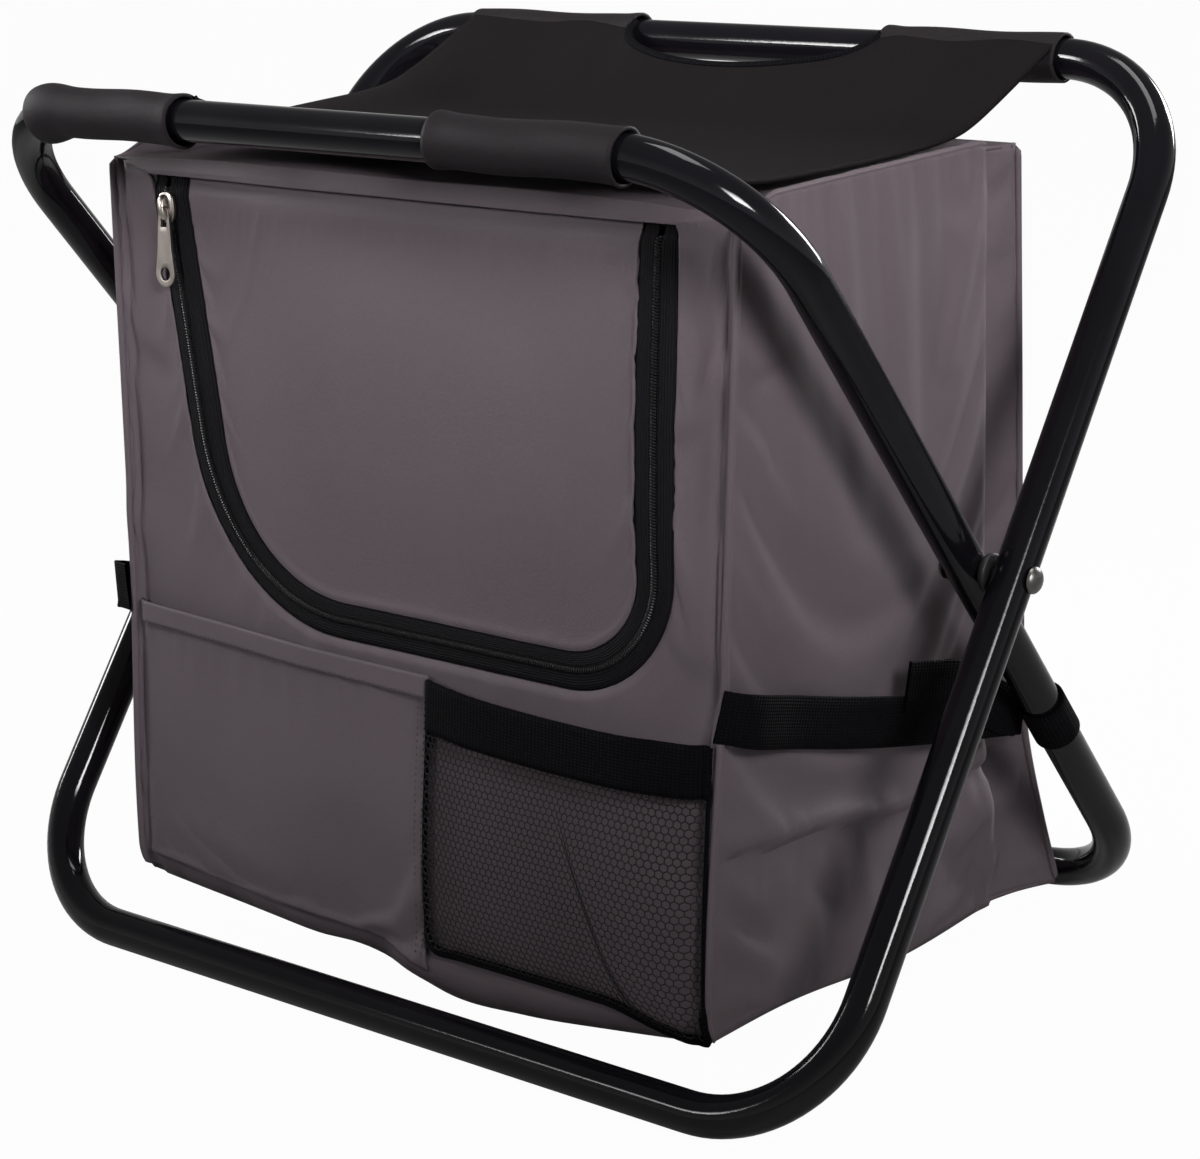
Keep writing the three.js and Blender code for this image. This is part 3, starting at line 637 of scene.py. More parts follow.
def zip_line(outside, top):
    """The zip's U across the face, offset outwards by one distance or by one for each run: a slanted left
    run, a wide bend, the foot, a tighter bend and the right run. It comes in three lengths, parted inside
    the bends."""
    by_left, by_foot, by_right = np.broadcast_to(outside, 3)
    wide = bend((-30.84, 221), 80 + np.linspace(by_left, by_foot, 33), 190, 270)
    tight = bend((84, 183), 42 + np.linspace(by_foot, by_right, 33), 270, 360)
    start = [[ZIP_LEFT - by_left / np.cos(SLANT) + (FLAP_TOP - top) * np.tan(SLANT), top]]
    left = np.concatenate([start, wide[:17]])
    foot = np.concatenate([wide[16:], tight[:17]])
    right = np.concatenate([tight[16:], [[ZIP_RIGHT + by_right, top]]])
    return left, foot, right


def mouth_loop(outside, top):
    """The closed outline of a flap's shape, in four lengths: left, foot, right and top."""
    left, foot, right = zip_line(outside, top)
    over = np.stack([right[-1], left[0]])
    lengths = [evenly(part, count) for part, count in zip((left, foot, right, over), COUNTS)]
    return np.concatenate([lengths[0]] + [part[1:] for part in lengths[1:]])


def ruled(inner, outer, rows):
    """Straight lines from the places of one outline to those of another."""
    share = np.linspace(0, 1, rows)[:, None, None]
    return inner * (1 - share) + outer * share


def round_mouth(inner, outer, rows, out):
    """A band of the front between two closed outlines, ruled from one to the other, and its flat lengths."""
    flat = ruled(inner, outer, rows)
    return on_front(flat[..., 0], flat[..., 1], out), flat


def above(mesh, height):
    """Which points of a mesh lie above a height in millimetres."""
    return values_of(mesh.vertices, "co", 3)[2::3] > height * 0.001


mouth = mouth_loop(ZIP_HALF, HEM_EDGE)
left_up = corner_up(-1, np.linspace(1, 0, COUNTS[0]))
foot_x = np.linspace(-FOOT_HALF, FOOT_HALF, COUNTS[1])
right_up = corner_up(1, np.linspace(0, 1, COUNTS[2]))
over_x = np.linspace(TOP_HALF, -TOP_HALF, COUNTS[3])
rim = np.concatenate([
    np.stack([-half_width(left_up), left_up], -1),
    np.stack([foot_x, front_foot(foot_x)], -1)[1:],
    np.stack([half_width(right_up), right_up], -1)[1:],
    np.stack([over_x, front_top(over_x)], -1)[1:],
])
hem = 1.8 * np.clip(mouth[None, :, 1] - HEM_EDGE + 1, 0, 1) * np.clip(np.linspace(1.4, 0, 31)[:, None], 0, 1)
shape = surface("front_cloth", round_mouth(mouth, rim, 31, hem))
shape = settled(shape, slack=0.012, cap=1.0, sewn=above(shape, 319.5))
cloth = piece(shape, grey_cloth, "grey_cloth", "cooler_bag", "front_panel", wall=BAG_CLOTH)
flattens(cloth)

# Flap: the same grey cloth, hanging from the hem along its top and zipped round its other three sides.
# It is padded with foam and faced with foil inside.
FLAP_EDGE = np.array([-12.0, -7.2, -8.6])


def whole_zip(outside, top, count):
    """The zip's U as one line of evenly spread places."""
    left, foot, right = zip_line(outside, top)
    return evenly(np.concatenate([left, foot[1:], right[1:]]), count)


def on_flap(flat, out):
    """Places on the front face at a height over its cloth, tucked in behind the hem over the top 5 mm."""
    return on_front(flat[..., 0], flat[..., 1], out - 2.2 * eased((flat[..., 1] - 302.5) / 5))


def flap_sheet(outside, top, out, rows=161, columns=61):
    """A flap's shape, ruled from places along the zip's U to its top edge, and its flat lengths."""
    edge = whole_zip(outside, top, rows)
    flat = ruled(edge, evenly(edge[[0, -1]], rows), columns).swapaxes(0, 1)
    return on_flap(flat, out), flat


shape = surface("flap_cloth", flap_sheet(FLAP_EDGE, FLAP_TOP + 5.2, 0.0))
shape = settled(shape, slack=0.012, cap=1.4, sewn=above(shape, 315.5))
flap_cloth = piece(shape, grey_cloth, "grey_cloth", "front_flap", "flap_panel", wall=BAG_CLOTH)
flattens(flap_cloth)

# Padding: white closed-cell foam boards, 4 mm thick, behind every panel of cloth.
# They stop short of the seams and are held by the lining.
FOAM_WALL = 4.0
SIDE_IN, REAR_IN, LEVEL_IN = 7.0, 6.5, 3.0


def foam_cells(shade):
    """White polyethylene foam: small closed cells and faint grey handling marks."""
    place = shade.node("TexCoord", {}, {}, "Object")
    cells = shade.node("TexVoronoi", {}, {"Vector": place, "Scale": 900.0})
    return {
        "Base Color": shade.between(shade.noise(25.0), (0.70, 0.69, 0.66), (0.82, 0.81, 0.79)),
        "Roughness": 0.85,
        "Normal": shade.raised(cells, 0.25),
    }


def foam_board(name, grid, body, node):
    """A board of foam, with its thickness on the inner side of its grid."""
    board = piece(surface(name, grid), white_foam, "white_foam", body, node, wall=FOAM_WALL)
    flattens(board)


white_foam = finish("white_foam", foam_cells)
for name, side in (("right", 1), ("left", -1)):
    wall = side_wall(side, *over_wall(31, 33, margin=0.035, rear=0.82)) - np.array([side * SIDE_IN, 0, 0])
    foam_board(f"{name}_side_board", wall if side > 0 else wall[::-1], "cooler_bag", f"{name}_side_foam")
rear = rear_wall(*over_wall(31, 33, margin=0.04)) - np.array([0, REAR_IN, 0])
foam_board("rear_board", rear, "cooler_bag", "rear_foam")
foam_board("top_board", top[6:-6:4, 6:-6:4] - np.array([0, 0, LEVEL_IN]), "cooler_bag", "top_foam")
foam_board("base_board", base[6:-6:4, 6:-6:4] + np.array([0, 0, LEVEL_IN]), "cooler_bag", "base_foam")
foam_mouth = mouth_loop(ZIP_HALF + 1, HEM_EDGE + 0.8)
foam_rim = rim * 0.965 + np.array([0, 8.0])
foam_board("front_board", round_mouth(foam_mouth, foam_rim, 9, -2.6), "cooler_bag", "front_foam")
foam_board("flap_board", flap_sheet(FLAP_EDGE - 2, FLAP_TOP - 3, -1.9, 81, 17), "front_flap", "flap_foam")

# Lining: one welded bag of silver foil film, open at the flap's mouth, and a foil facing on the flap.
# The film is heat sealed along its edges and crinkled from handling.
FILM_WALL, FILM_IN = 0.8, 5.0


def foil_film(shade):
    """Metallised film: bright, creased in sharp facets and finer crinkles."""
    place = shade.node("TexCoord", {}, {}, "Object")
    facets = shade.node("TexVoronoi", {}, {"Vector": place, "Scale": 60.0})
    crinkle = shade.noise(120.0, 5.0)
    return {
        "Base Color": shade.between(crinkle, (0.62, 0.63, 0.65), (0.80, 0.81, 0.82)),
        "Metallic": 0.9,
        "Roughness": 0.22 + 0.2 * crinkle,
        "Normal": shade.raised(0.5 * facets + crinkle, 1.2),
    }


silver_foil = finish("silver_foil", foil_film)
sides = over_wall(31, 33, margin=0.025, rear=0.81)
right, left = [side_wall(side, *sides) - np.array([side * (SIDE_IN + FILM_IN), 0, 0]) for side in (1, -1)]
rear = rear_wall(*over_wall(31, 33, margin=0.025)) - np.array([0, REAR_IN + FILM_IN, 0])
lining = [
    np.concatenate([right, rear[2:-2], left[::-1]]),
    top[3:-3:5, 3:-3:5] - np.array([0, 0, LEVEL_IN + FILM_IN]),
    base[3:-3:5, 3:-3:5] + np.array([0, 0, LEVEL_IN + FILM_IN]),
    round_mouth(mouth_loop(ZIP_HALF, HEM_EDGE + 0.4), foam_rim, 9, -6.6),
]
shape = surface("foil_bag", *lining)
foil = piece(shape, silver_foil, "silver_foil", "cooler_bag", "foil_lining", wall=FILM_WALL)
flattens(foil)
shape = surface("flap_facing", flap_sheet(FLAP_EDGE - 2, FLAP_TOP - 3, -6.3, 81, 25))
facing = piece(shape, silver_foil, "silver_foil", "front_flap", "flap_foil", wall=FILM_WALL)
flattens(facing)

# Zip: black polyester tapes sewn to the mouth and the flap, with a nylon coil between them.
# The tapes are ribbed along their length, and the coil's turns are 1.4 mm apart.
ZIP_LENGTH = 640.0
COIL_PITCH = 1.4


def tape_strip(sewn, inner):
    """A tape between two offsets from the zip's line: sunk where it is sewn, then rising to lie flat."""
    share = np.linspace(0, 1, 9)
    offsets = [sewn + (inner - sewn) * way for way in share]
    rises = -1.9 + 2.1 * eased(share / 0.45)
    lines = [whole_zip(offset, FLAP_TOP + 4, 361) for offset in offsets]
    return np.stack([on_flap(line, rise) for line, rise in zip(lines, rises)], 1)


def ribbed_tape(shade):
    """Black twill tape: fine ribs along its length and slightly dusty high threads."""
    rib = shade.ridges("Y", 1.1)
    thread = shade.ridges("X", 0.7)
    share = 0.3 + 0.25 * rib + 0.2 * thread + 0.2 * shade.noise(500.0)
    return {
        "Base Color": shade.between(share, (0.005, 0.005, 0.006), (0.017, 0.015, 0.017)),
        "Roughness": 0.66,
        "Specular IOR Level": 0.04,
        "Normal": shade.raised(0.5 + 0.4 * rib + 0.12 * thread, 0.35),
    }


def coil_nylon(shade):
    """Black nylon filament with a slight shine."""
    return {
        "Base Color": (0.006, 0.006, 0.007, 1),
        "Roughness": 0.35 + 0.15 * shade.noise(200.0),
        "Specular IOR Level": 0.4,
    }


zip_tape = finish("zip_tape", ribbed_tape)
zip_coil = finish("zip_coil", coil_nylon)
shape = surface("bag_tape", tape_strip(sewn=9.2, inner=1.2))
tape = piece(shape, zip_tape, "zip_tape", "cooler_bag", "zip_bag_tape", wall=0.9)
flattens(tape)
shape = surface("flap_tape", tape_strip(sewn=FLAP_EDGE - 1.3, inner=-1.2)[:, ::-1])
tape = piece(shape, zip_tape, "zip_tape", "front_flap", "zip_flap_tape", wall=0.9)
flattens(tape)


def zip_coil_wire(wide, high, wire):
    """A flattened coil along the zip's line: a point goes round an oval once each pitch, in eight steps, and
    a round wire follows it."""
    count = int(ZIP_LENGTH / COIL_PITCH) * 8
    line = on_flap(whole_zip(0.0, FLAP_TOP - 1, count), 0.3)
    across = unit(np.cross(unit(np.gradient(line, axis=0)), FACE_OUT))
    turn = (np.arange(count) * 2 * np.pi / 8)[:, None]
    path = line + wide * np.cos(turn) * across + high * np.sin(turn) * FACE_OUT
    radial = unit(np.cos(turn) * across + np.sin(turn) * FACE_OUT)
    tangent = unit(np.gradient(path, axis=0))
    radial = unit(radial - (radial * tangent).sum(axis=1, keepdims=True) * tangent)
    return swept(path, radial, oval(wire, wire, 5))


shape = surface("zip_coil_chain", zip_coil_wire(wide=1.05, high=0.62, wire=0.34))
chain = piece(shape, zip_coil, "zip_coil", "front_flap", "zip_chain")
flattens(chain)

# Slider and pull: a die-cast nickel saddle that rides the coil, with an arched bridge on it.
# The pull is a stamped plate, wider towards its foot, with an eye round the bridge and a punched hole.
SLIDER_DROP = 9.0
SLIDER_X = ZIP_LEFT + SLIDER_DROP * np.tan(SLANT)
SLIDER_UP = FLAP_TOP - SLIDER_DROP
swell_there = float(front_swell(np.array(SLIDER_X), np.array(SLIDER_UP)))


def by_slider(across, along, out, turn=0.0):
    """A place near the slider: across and along it, turned with the zip's slant, and out from the cloth."""
    x = SLIDER_X + across * np.cos(turn) - along * np.sin(turn)
    up = SLIDER_UP + across * np.sin(turn) + along * np.cos(turn)
    return on_face(x, up, out + swell_there)


def slider_saddle():
    """A shield outline, wide at its top, with upright sides under a low dome: the outline shrinks by the
    cosine of a quarter turn while it rises by the sine."""
    turn = np.linspace(0, 2 * np.pi, 49)[None]
    level = np.linspace(0, 1, 12)[:, None]
    side = np.clip(level / 0.45, 0, 1)
    shrink = np.where(level < 0.45, 1.0, np.cos((level - 0.45) / 0.55 * np.pi / 2))
    wide = np.abs(np.cos(turn)) ** 0.7 * np.sign(np.cos(turn)) * 4.2 * (1 + 0.16 * np.sin(turn))
    long = np.abs(np.sin(turn)) ** 0.8 * np.sign(np.sin(turn)) * 6.2
    out = 0.5 + 1.2 * side + 0.9 * np.sin(np.clip((level - 0.45) / 0.55, 0, 1) * np.pi / 2)
    return by_slider(wide * shrink, long * shrink, out + 0 * turn, SLANT)


def slider_bridge():
    """A flat bar carried over an arch from the saddle's head to its tail."""
    turn = np.linspace(0, np.pi, 21)
    arch = by_slider(0 * turn, 4.6 * np.cos(turn), 1.6 + 3.6 * np.sin(turn) ** 0.6, SLANT)
    across = np.broadcast_to(by_slider(1.0, 0.0, 0.0, SLANT) - by_slider(0.0, 0.0, 0.0, SLANT), arch.shape)
    return swept(arch, across, oval(1.5, 0.7, 12))


def pull_plate():
    """Two ruled bands joined end to end: one between the punched hole and the lower outline with its round
    foot, one between the eye and the upper outline with its round head."""
    half, neck, top, hole_radius = 5.3, 4.0, 2.9, 2.8
    foot, split, shoulder = -32.0, -17.0, -1.6
    middle = foot + half
    cut = np.stack([np.linspace(-neck, neck, 9), np.full(9, split)], -1)
    down = np.stack([np.linspace(neck, half, 7), np.linspace(split, middle, 7)], -1)
    round_foot = bend((0, middle), np.full(25, half), 360, 180)
    lower = np.concatenate([cut, down[1:], round_foot[1:], (down * [-1, 1])[::-1][1:]])
    angle = np.arctan2(lower[:, 1] - middle, lower[:, 0])
    hole = np.stack([hole_radius * np.cos(angle), middle + hole_radius * np.sin(angle)], -1)
    top_bend = np.linspace(0, np.pi, 17)
    head = np.stack([top * np.cos(top_bend), shoulder + 2.4 * np.sin(top_bend)], -1)
    rise = np.stack([np.linspace(neck, top, 7), np.linspace(split, shoulder, 7)], -1)
    upper = np.concatenate([cut[::-1], (rise * [-1, 1])[1:], head[::-1][1:], rise[::-1][1:]])
    angle = np.arctan2((upper[:, 1] + 4.5) / 1.6, upper[:, 0])
    reach = 1 / np.maximum(np.abs(np.cos(angle)) / 1.7, np.abs(np.sin(angle)) / 3.4)
    eye = np.stack([reach * np.cos(angle), -4.4 + reach * np.sin(angle)], -1)
    bands = []
    for inner, outer in ((hole, lower), (eye, upper)):
        flat = ruled(inner, outer, 5)
        bands.append(by_slider(flat[..., 0], flat[..., 1], 3.7)[:, ::-1])
    return bands


pull_nickel = finish("pull_nickel", plated((0.44, 0.39, 0.36), (0.60, 0.54, 0.50)))
shape = surface("slider", slider_saddle(), slider_bridge())
piece(shape, pull_nickel, "pull_metal", "zip_slider", "zip_slider")
pull = piece(surface("pull", *pull_plate()), pull_nickel, "pull_metal", "zip_pull", "zip_pull_tab", wall=1.2)
soft = pull.modifiers.new("soft_edges", "BEVEL")
soft.width = 0.0003
soft.segments = 2

# Slip pocket: a patch of the grey cloth low on the left, sewn down on three sides.
# It has a turned hem at its mouth, and its right edge is stitched twice.
SLIP_LEFT, SLIP_WIDTH = -148.0, 165.0
SLIP_RIGHT = 16.7


def slip_top(x):
    """How far up the face the pocket's mouth lies, sloping down to the right."""
    return 130.5 - 4.0 * (x - SLIP_LEFT) / SLIP_WIDTH


def slip_strip(low, high, out, columns):
    """A strip of the patch from the left seam to its right edge, between two shares of its height: it stands
    off at the mouth, with some slack and two creases. Its flat lengths come with it."""
    s, t = np.meshgrid(np.linspace(0, 1, 81), np.linspace(low, high, columns), indexing="ij")
    level_x = SLIP_LEFT + SLIP_WIDTH * s
    foot = front_foot(level_x) + 10.0
    up = foot + t * (slip_top(level_x) - foot)
    left = 4.2 - half_width(up)
    x = left + s * (SLIP_RIGHT - left)
    gap = 2.6 * np.sin(np.pi * s) ** 0.8 * np.clip((t - 0.55) / 0.45, 0, 1) ** 2
    slack = creases(x, up, (0.9, (-120, 40), (-60, 25), 9), (-1.1, (-30, 60), (10, 25), 12))
    slack = slack + 1.2 * np.sin(np.pi * s) * np.sin(np.pi * t)
    return on_front(x, up, out + gap + slack), np.stack([x, up], -1)


def stitches(line, pitch=2.6, thread=0.28):
    """A row of stitches on the face: each is a spindle along the line, as wide as the root of a half sine."""
    length = np.linalg.norm(np.diff(line, axis=0), axis=1).sum()
    count = max(int(length / pitch), 2)
    ends = evenly(line, 2 * count)
    start, end = ends[0::2], ends[1::2]
    share = np.linspace(0, 1, 5)
    turn = np.linspace(0, 2 * np.pi, 6)
    side = unit(np.cross(FACE_OUT, unit(end - start)))
    middle = start[:, None] * (1 - share[:, None]) + end[:, None] * share[:, None]
    thick = thread * np.sqrt(np.sin(np.pi * np.clip(share, 0.02, 0.98)))
    rings = middle[:, :, None] + thick[:, None, None] * (
        np.cos(turn)[:, None] * side[:, None, None] + np.sin(turn)[:, None] * FACE_OUT
    )
    return list(rings[:, :, ::-1])


def sewing_thread(shade):
    """Twisted polyester thread, a shade darker than the cloth."""
    return {
        "Base Color": (0.045, 0.038, 0.043, 1),
        "Roughness": 0.6,
        "Normal": shade.raised(shade.noise(2500.0), 0.05),
    }


grey_thread = finish("grey_thread", sewing_thread)
shape = surface("slip_patch", slip_strip(0.0, 1.0, out=1.5, columns=61))
shape = settled(shape, slack=0.015, cap=1.6)
patch = piece(shape, grey_cloth, "grey_cloth", "cooler_bag", "slip_pocket_panel", wall=1.2)
flattens(patch)
shape = surface("slip_hem", slip_strip(0.925, 1.006, out=2.4, columns=7))
hem_fold = piece(shape, grey_cloth, "grey_cloth", "cooler_bag", "slip_pocket_hem", wall=1.0)
flattens(hem_fold)
up = np.linspace(14, 125, 60)
rows = stitches(slip_strip(0.93, 0.93, out=2.55, columns=2)[0][:, 0])
for inset in (1.6, 5.0):
    rows += stitches(on_front(SLIP_RIGHT - inset + 0 * up, up, 1.75))
sewn = piece(surface("slip_stitching", *rows), grey_thread, "grey_cloth", "cooler_bag")
flattens(sewn)

# Mesh pocket: black warp-knit net low on the right, bound at its foot and sides.
# A woven elastic is sewn along its mouth, and the pocket stands off the front like a shallow bag.
NET_LEFT, NET_RIGHT, NET_FOOT, NET_TOP = 17.0, 150.5, 17.0, 122.5
NET_PITCH = 2.9
ELASTIC_WIDTH = 20.0


def net_foot(x):
    """How far up the face the net's foot lies: level, then down towards the bag's right corner."""
    return NET_FOOT - 9.0 * eased((x - 104) / 46)


def net_out(x, up):
    """How far the net stands off the front: sewn down at its sides and foot, nearly flat on the left, and
    full to the right of a slanting fold."""
    side = np.clip(np.minimum(x - NET_LEFT, NET_RIGHT - x) / 34, 0, 1)
    low = np.clip((up - net_foot(x)) / 26, 0, 1)
    full = 5.0 + 5.5 * eased((x - 97 - 0.46 * (72 - up) + 5) / 10) * eased((100 - up) / 30)
    return 2.6 + full * np.sin(side * np.pi / 2) ** 0.8 * np.sin(low * np.pi / 2) ** 0.8


def webbing_weave(shade):
    """Black polypropylene webbing: ribs across the band, with a fine twill along it."""
    rib = shade.ridges("X", 1.7)
    twill = shade.ridges("Y", 1.2)
    share = 0.35 + 0.2 * rib + 0.15 * twill + 0.3 * shade.noise(300.0)
    return {
        "Base Color": shade.between(share, (0.002, 0.002, 0.0024), (0.007, 0.0065, 0.008)),
        "Roughness": 0.7,
        "Specular IOR Level": 0.02,
        "Normal": shade.raised(0.5 + 0.3 * rib + 0.25 * twill, 0.4),
    }


def net_yarn(shade):
    """Black knitted yarn."""
    return {
        "Base Color": shade.between(shade.noise(800.0), (0.010, 0.010, 0.011), (0.026, 0.025, 0.026)),
        "Roughness": 0.6,
        "Specular IOR Level": 0.06,
        "Normal": shade.raised(shade.noise(3000.0), 0.1),
    }


black_webbing = finish("black_webbing", webbing_weave)
black_net = finish("black_net", net_yarn)
share = np.linspace(0, 1, 71)[:, None]
x = NET_LEFT + (NET_RIGHT - NET_LEFT) * share
up = np.linspace(NET_TOP - ELASTIC_WIDTH, NET_TOP, 9)[None]
sag = 3.5 - 2.5 * share - 1.8 * np.sin(np.pi * share)
shape = surface("pocket_elastic", on_front(x, up + sag, net_out(x, up) + 0.9))
elastic = piece(shape, black_webbing, "black_webbing", "cooler_bag", "mesh_pocket_elastic", wall=1.5)
flattens(elastic)


def net_knots():
    """The six knots of each cell: hexagons in staggered rows, drawn down to the net's foot."""
    row_pitch = NET_PITCH * np.sqrt(3) / 2
    columns, rows = int((NET_RIGHT - NET_LEFT) / NET_PITCH), int((NET_TOP - 8 - NET_FOOT) / row_pitch)
    i, j = np.meshgrid(np.arange(columns), np.arange(rows), indexing="ij")
    spoke = np.pi / 6 + np.arange(6) * np.pi / 3
    x = NET_LEFT + 2.0 + NET_PITCH * ((i + 0.5 * (j % 2))[..., None] + np.cos(spoke) / np.sqrt(3))
    up = NET_FOOT + 3.0 + row_pitch * j[..., None] + NET_PITCH / np.sqrt(3) * np.sin(spoke)
    x = np.clip(x, NET_LEFT + 0.2, NET_RIGHT - 0.2)
    up = NET_TOP - (NET_TOP - up) * (NET_TOP - net_foot(x)) / (NET_TOP - NET_FOOT)
    return on_front(x, up, net_out(x, up)).reshape(-1, 3)


knots = net_knots()
mesh = bpy.data.meshes.new("pocket_net")
mesh.from_pydata(knots * 0.001, [], np.arange(len(knots)).reshape(-1, 6))
welded(mesh, 2e-4)
net = piece(mesh, black_net, "black_net", "cooler_bag", "mesh_pocket_net")
strand = net.modifiers.new("strand", "WIREFRAME")
strand.thickness = 0.0005
strand.use_boundary = True
flattens(net)


def pocket_binding():
    """A folded tape carried round the pocket's sides and foot: a flat oval section along a U with a rounded
    left corner, whose foot drops to a sharper right corner."""
    left = bend((NET_LEFT + 9, NET_FOOT + 9), np.full(13, 9.0), 180, 270)
    foot_x = np.linspace(NET_LEFT + 11, NET_RIGHT - 3, 60)
    foot = np.stack([foot_x, net_foot(foot_x)], -1)
    right = [[NET_RIGHT - 1, NET_FOOT - 8.2], [NET_RIGHT, NET_FOOT - 6], [NET_RIGHT, NET_TOP]]
    line = evenly(np.concatenate([[[NET_LEFT, NET_TOP]], left, foot, right]), 181)
    path = on_front(line[:, 0], line[:, 1], 1.7)
    across = unit(np.cross(unit(np.gradient(path, axis=0)), FACE_OUT))
    slim = 1 - 0.45 * eased((line[:, 1] - NET_FOOT - 2) / 8)
    return swept(path, across, oval(1.9, 1.5, 12) * slim[:, None, None])


shape = surface("pocket_binding", pocket_binding())
bound = piece(shape, black_webbing, "black_webbing", "cooler_bag", "mesh_pocket_gusset")
flattens(bound)

# Piping: a 3 mm cord wrapped in the grey cloth and sewn into each of the four upright corner seams.
# It is caught in the base and top seams at its ends, where it tapers off.


def corner_cord(corner, side, back):
    """A round section carried up a corner seam, set a little out of the corner and tapered at both ends."""
    low, high = 0.004, 0.997
    share = np.linspace(low, high, 141)
    taper = np.clip(np.minimum(share - low, high - share) / 0.008, 0, 1) ** 0.5
    path = corner(side, share) + np.array([side * 0.5, back * 0.4, 0]) * taper[:, None]
    across = np.broadcast_to(np.array([float(side), 0, 0]), path.shape)
    return swept(path, across, oval(1.5, 1.5, 12) * taper[:, None, None])


for end, corner, back in (("front", front_corner, -1), ("rear", rear_corner, 1)):
    for name, side in (("left", -1), ("right", 1)):
        shape = surface(f"{end}_{name}_cord", corner_cord(corner, side, back))
        cord = piece(shape, grey_cloth, "grey_cloth", "cooler_bag", f"{end}_{name}_piping")
        flattens(cord)

# Side straps: 20 mm black webbing, sewn into the front seams and run back to loops round the inner legs.
# Each strap's end is doubled forward over itself and stands a little higher.
STRAP_X, STRAP_Y, STRAP_Z = 155.0, -110.0, 153.0
STRAP_RUN, STRAP_FALL = 167.8, 43.4
LOOP_RADIUS = 9.6
strap_face = np.array([[-10, 0.35], [-9.6, 0.7], [-5, 0.7], [0, 0.7], [5, 0.7], [9.6, 0.7], [10, 0.35]])
strap_section = np.concatenate([strap_face[:1] * [1, -1], strap_face, strap_face[::-1] * [1, -1]])


def strap_band(side, low, high, out, rise):
    """A flat section carried from the front seam to the leg: the band stands out where it leaves the seam,
    bows out as the square of its run and sags."""
    share = np.linspace(low, high, 81)
    stand = (9.5 - 3.5 * side) * eased(share / 0.04) * (1 - eased((share - 0.03) / 0.24))
    bow = 20.4 * share**2 + 1.6 * np.sin(np.pi * share)
    x = side * (STRAP_X + 2.6 * eased(share / 0.1) + stand + bow + out)
    y = STRAP_Y + STRAP_RUN * share
    sag = STRAP_FALL * share + 4.0 * np.sin(np.pi * share)
    z = STRAP_Z - sag + rise * (1 - eased((share - 0.74) / 0.24))
    path = np.stack([x, y, z], -1)
    along = unit(np.gradient(path, axis=0))
    across = unit(np.array([0, 0, 1.0]) - along[:, 2:] * along)
    return swept(path, across, strap_section)


def leg_loop(side):
    """A band round an inner leg: a circle in the plane square to the leg, carried along the leg."""
    turn = np.linspace(0, 2 * np.pi, 41)[:, None]
    reach = np.linspace(-105, -85, 7)[None]
    band = leant(side * INNER_WIDTH / 2 + LOOP_RADIUS * np.cos(turn) + 0 * reach, reach, LEG_LEAN)
    band = band + LOOP_RADIUS * np.sin(turn)[..., None] * np.array([0, np.cos(LEG_LEAN), np.sin(LEG_LEAN)])
    band[..., 2] += RIVET_HEIGHT
    return band


for name, side in (("right", 1), ("left", -1)):
    for part, low, high, out, rise in (("strap", 0, 1, 0, 0), ("strap_tail", 0.60, 0.97, 1.8, 14)):
        shape = surface(f"{name}_{part}_band", strap_band(side, low, high, out, rise))
        band = piece(shape, black_webbing, "black_webbing", None, f"{name}_{part}")
        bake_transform(band)
    shape = surface(f"{name}_leg_loop", leg_loop(side))
    piece(shape, black_webbing, "black_webbing", "inner_frame", f"{name}_strap_loop", wall=1.3)

# Seat: one sling of black coated polyester between the rails, resting on the bag's top.
# A half-round hand-hold is cut at each rail and bound with webbing.
HOLD_HALF, HOLD_DEPTH = 65.0, 27.2
HOLD_X = {-1: -8.0, 1: 5.0}
SEAT_LEVEL, SEAT_FLAT, SEAT_REACH = 335.7, 66.0, 127.0


def seat_height(x, y):
    """The sling's height: level over the bag, then straight up to the tops of the rails, with pulls at the
    sleeves and a left border that lifts off the bag's edge."""
    past = np.abs(y) - SEAT_FLAT
    rise = np.clip(past / 62, 0, 1.2)
    taut = 0.235 * (past + np.hypot(past, 14))
    pulls = creases(np.abs(x), np.abs(y), (1.0, (70, 128), (48, 84), 9), (0.8, (110, 128), (90, 88), 12))
    sag = 0.9 * np.sin(x / 31) * np.sin(y / 40 + 0.7) * np.clip(1 - np.abs(y) / 110, 0, 1)
    edge = 1.2 * np.clip((np.abs(x) - 120) / 32, 0, 1) ** 2 * np.clip(1 - rise, 0, 1)
    lift = 4.4 * eased((-x - 100) / 45) * np.clip(1 - rise, 0, 1)
    return SEAT_LEVEL + taut - 1.1 * pulls * np.clip(1.4 - rise, 0, 1) + sag - edge + lift


def seat_edge(end, x):
    """How far the sling reaches to a rail: to its sleeve, or to the hand-hold's half oval."""
    inside = np.clip(1 - ((x - HOLD_X[end]) / HOLD_HALF) ** 2, 0, 1)
    return end * (SEAT_REACH - HOLD_DEPTH * np.sqrt(inside))


def hold_places(end, count):
    """Places across a hand-hold, closer together where its oval turns down to the rail."""
    return HOLD_X[end] + HOLD_HALF * np.sin(np.linspace(-np.pi / 2, np.pi / 2, count))


def seat_places(end, low, high):
    """Places across the sling from border to border, with those of the hand-hold among them."""
    hold = hold_places(end, 61)
    return np.concatenate([np.linspace(low, hold[0], 26)[:-1], hold, np.linspace(hold[-1], high, 26)[1:]])


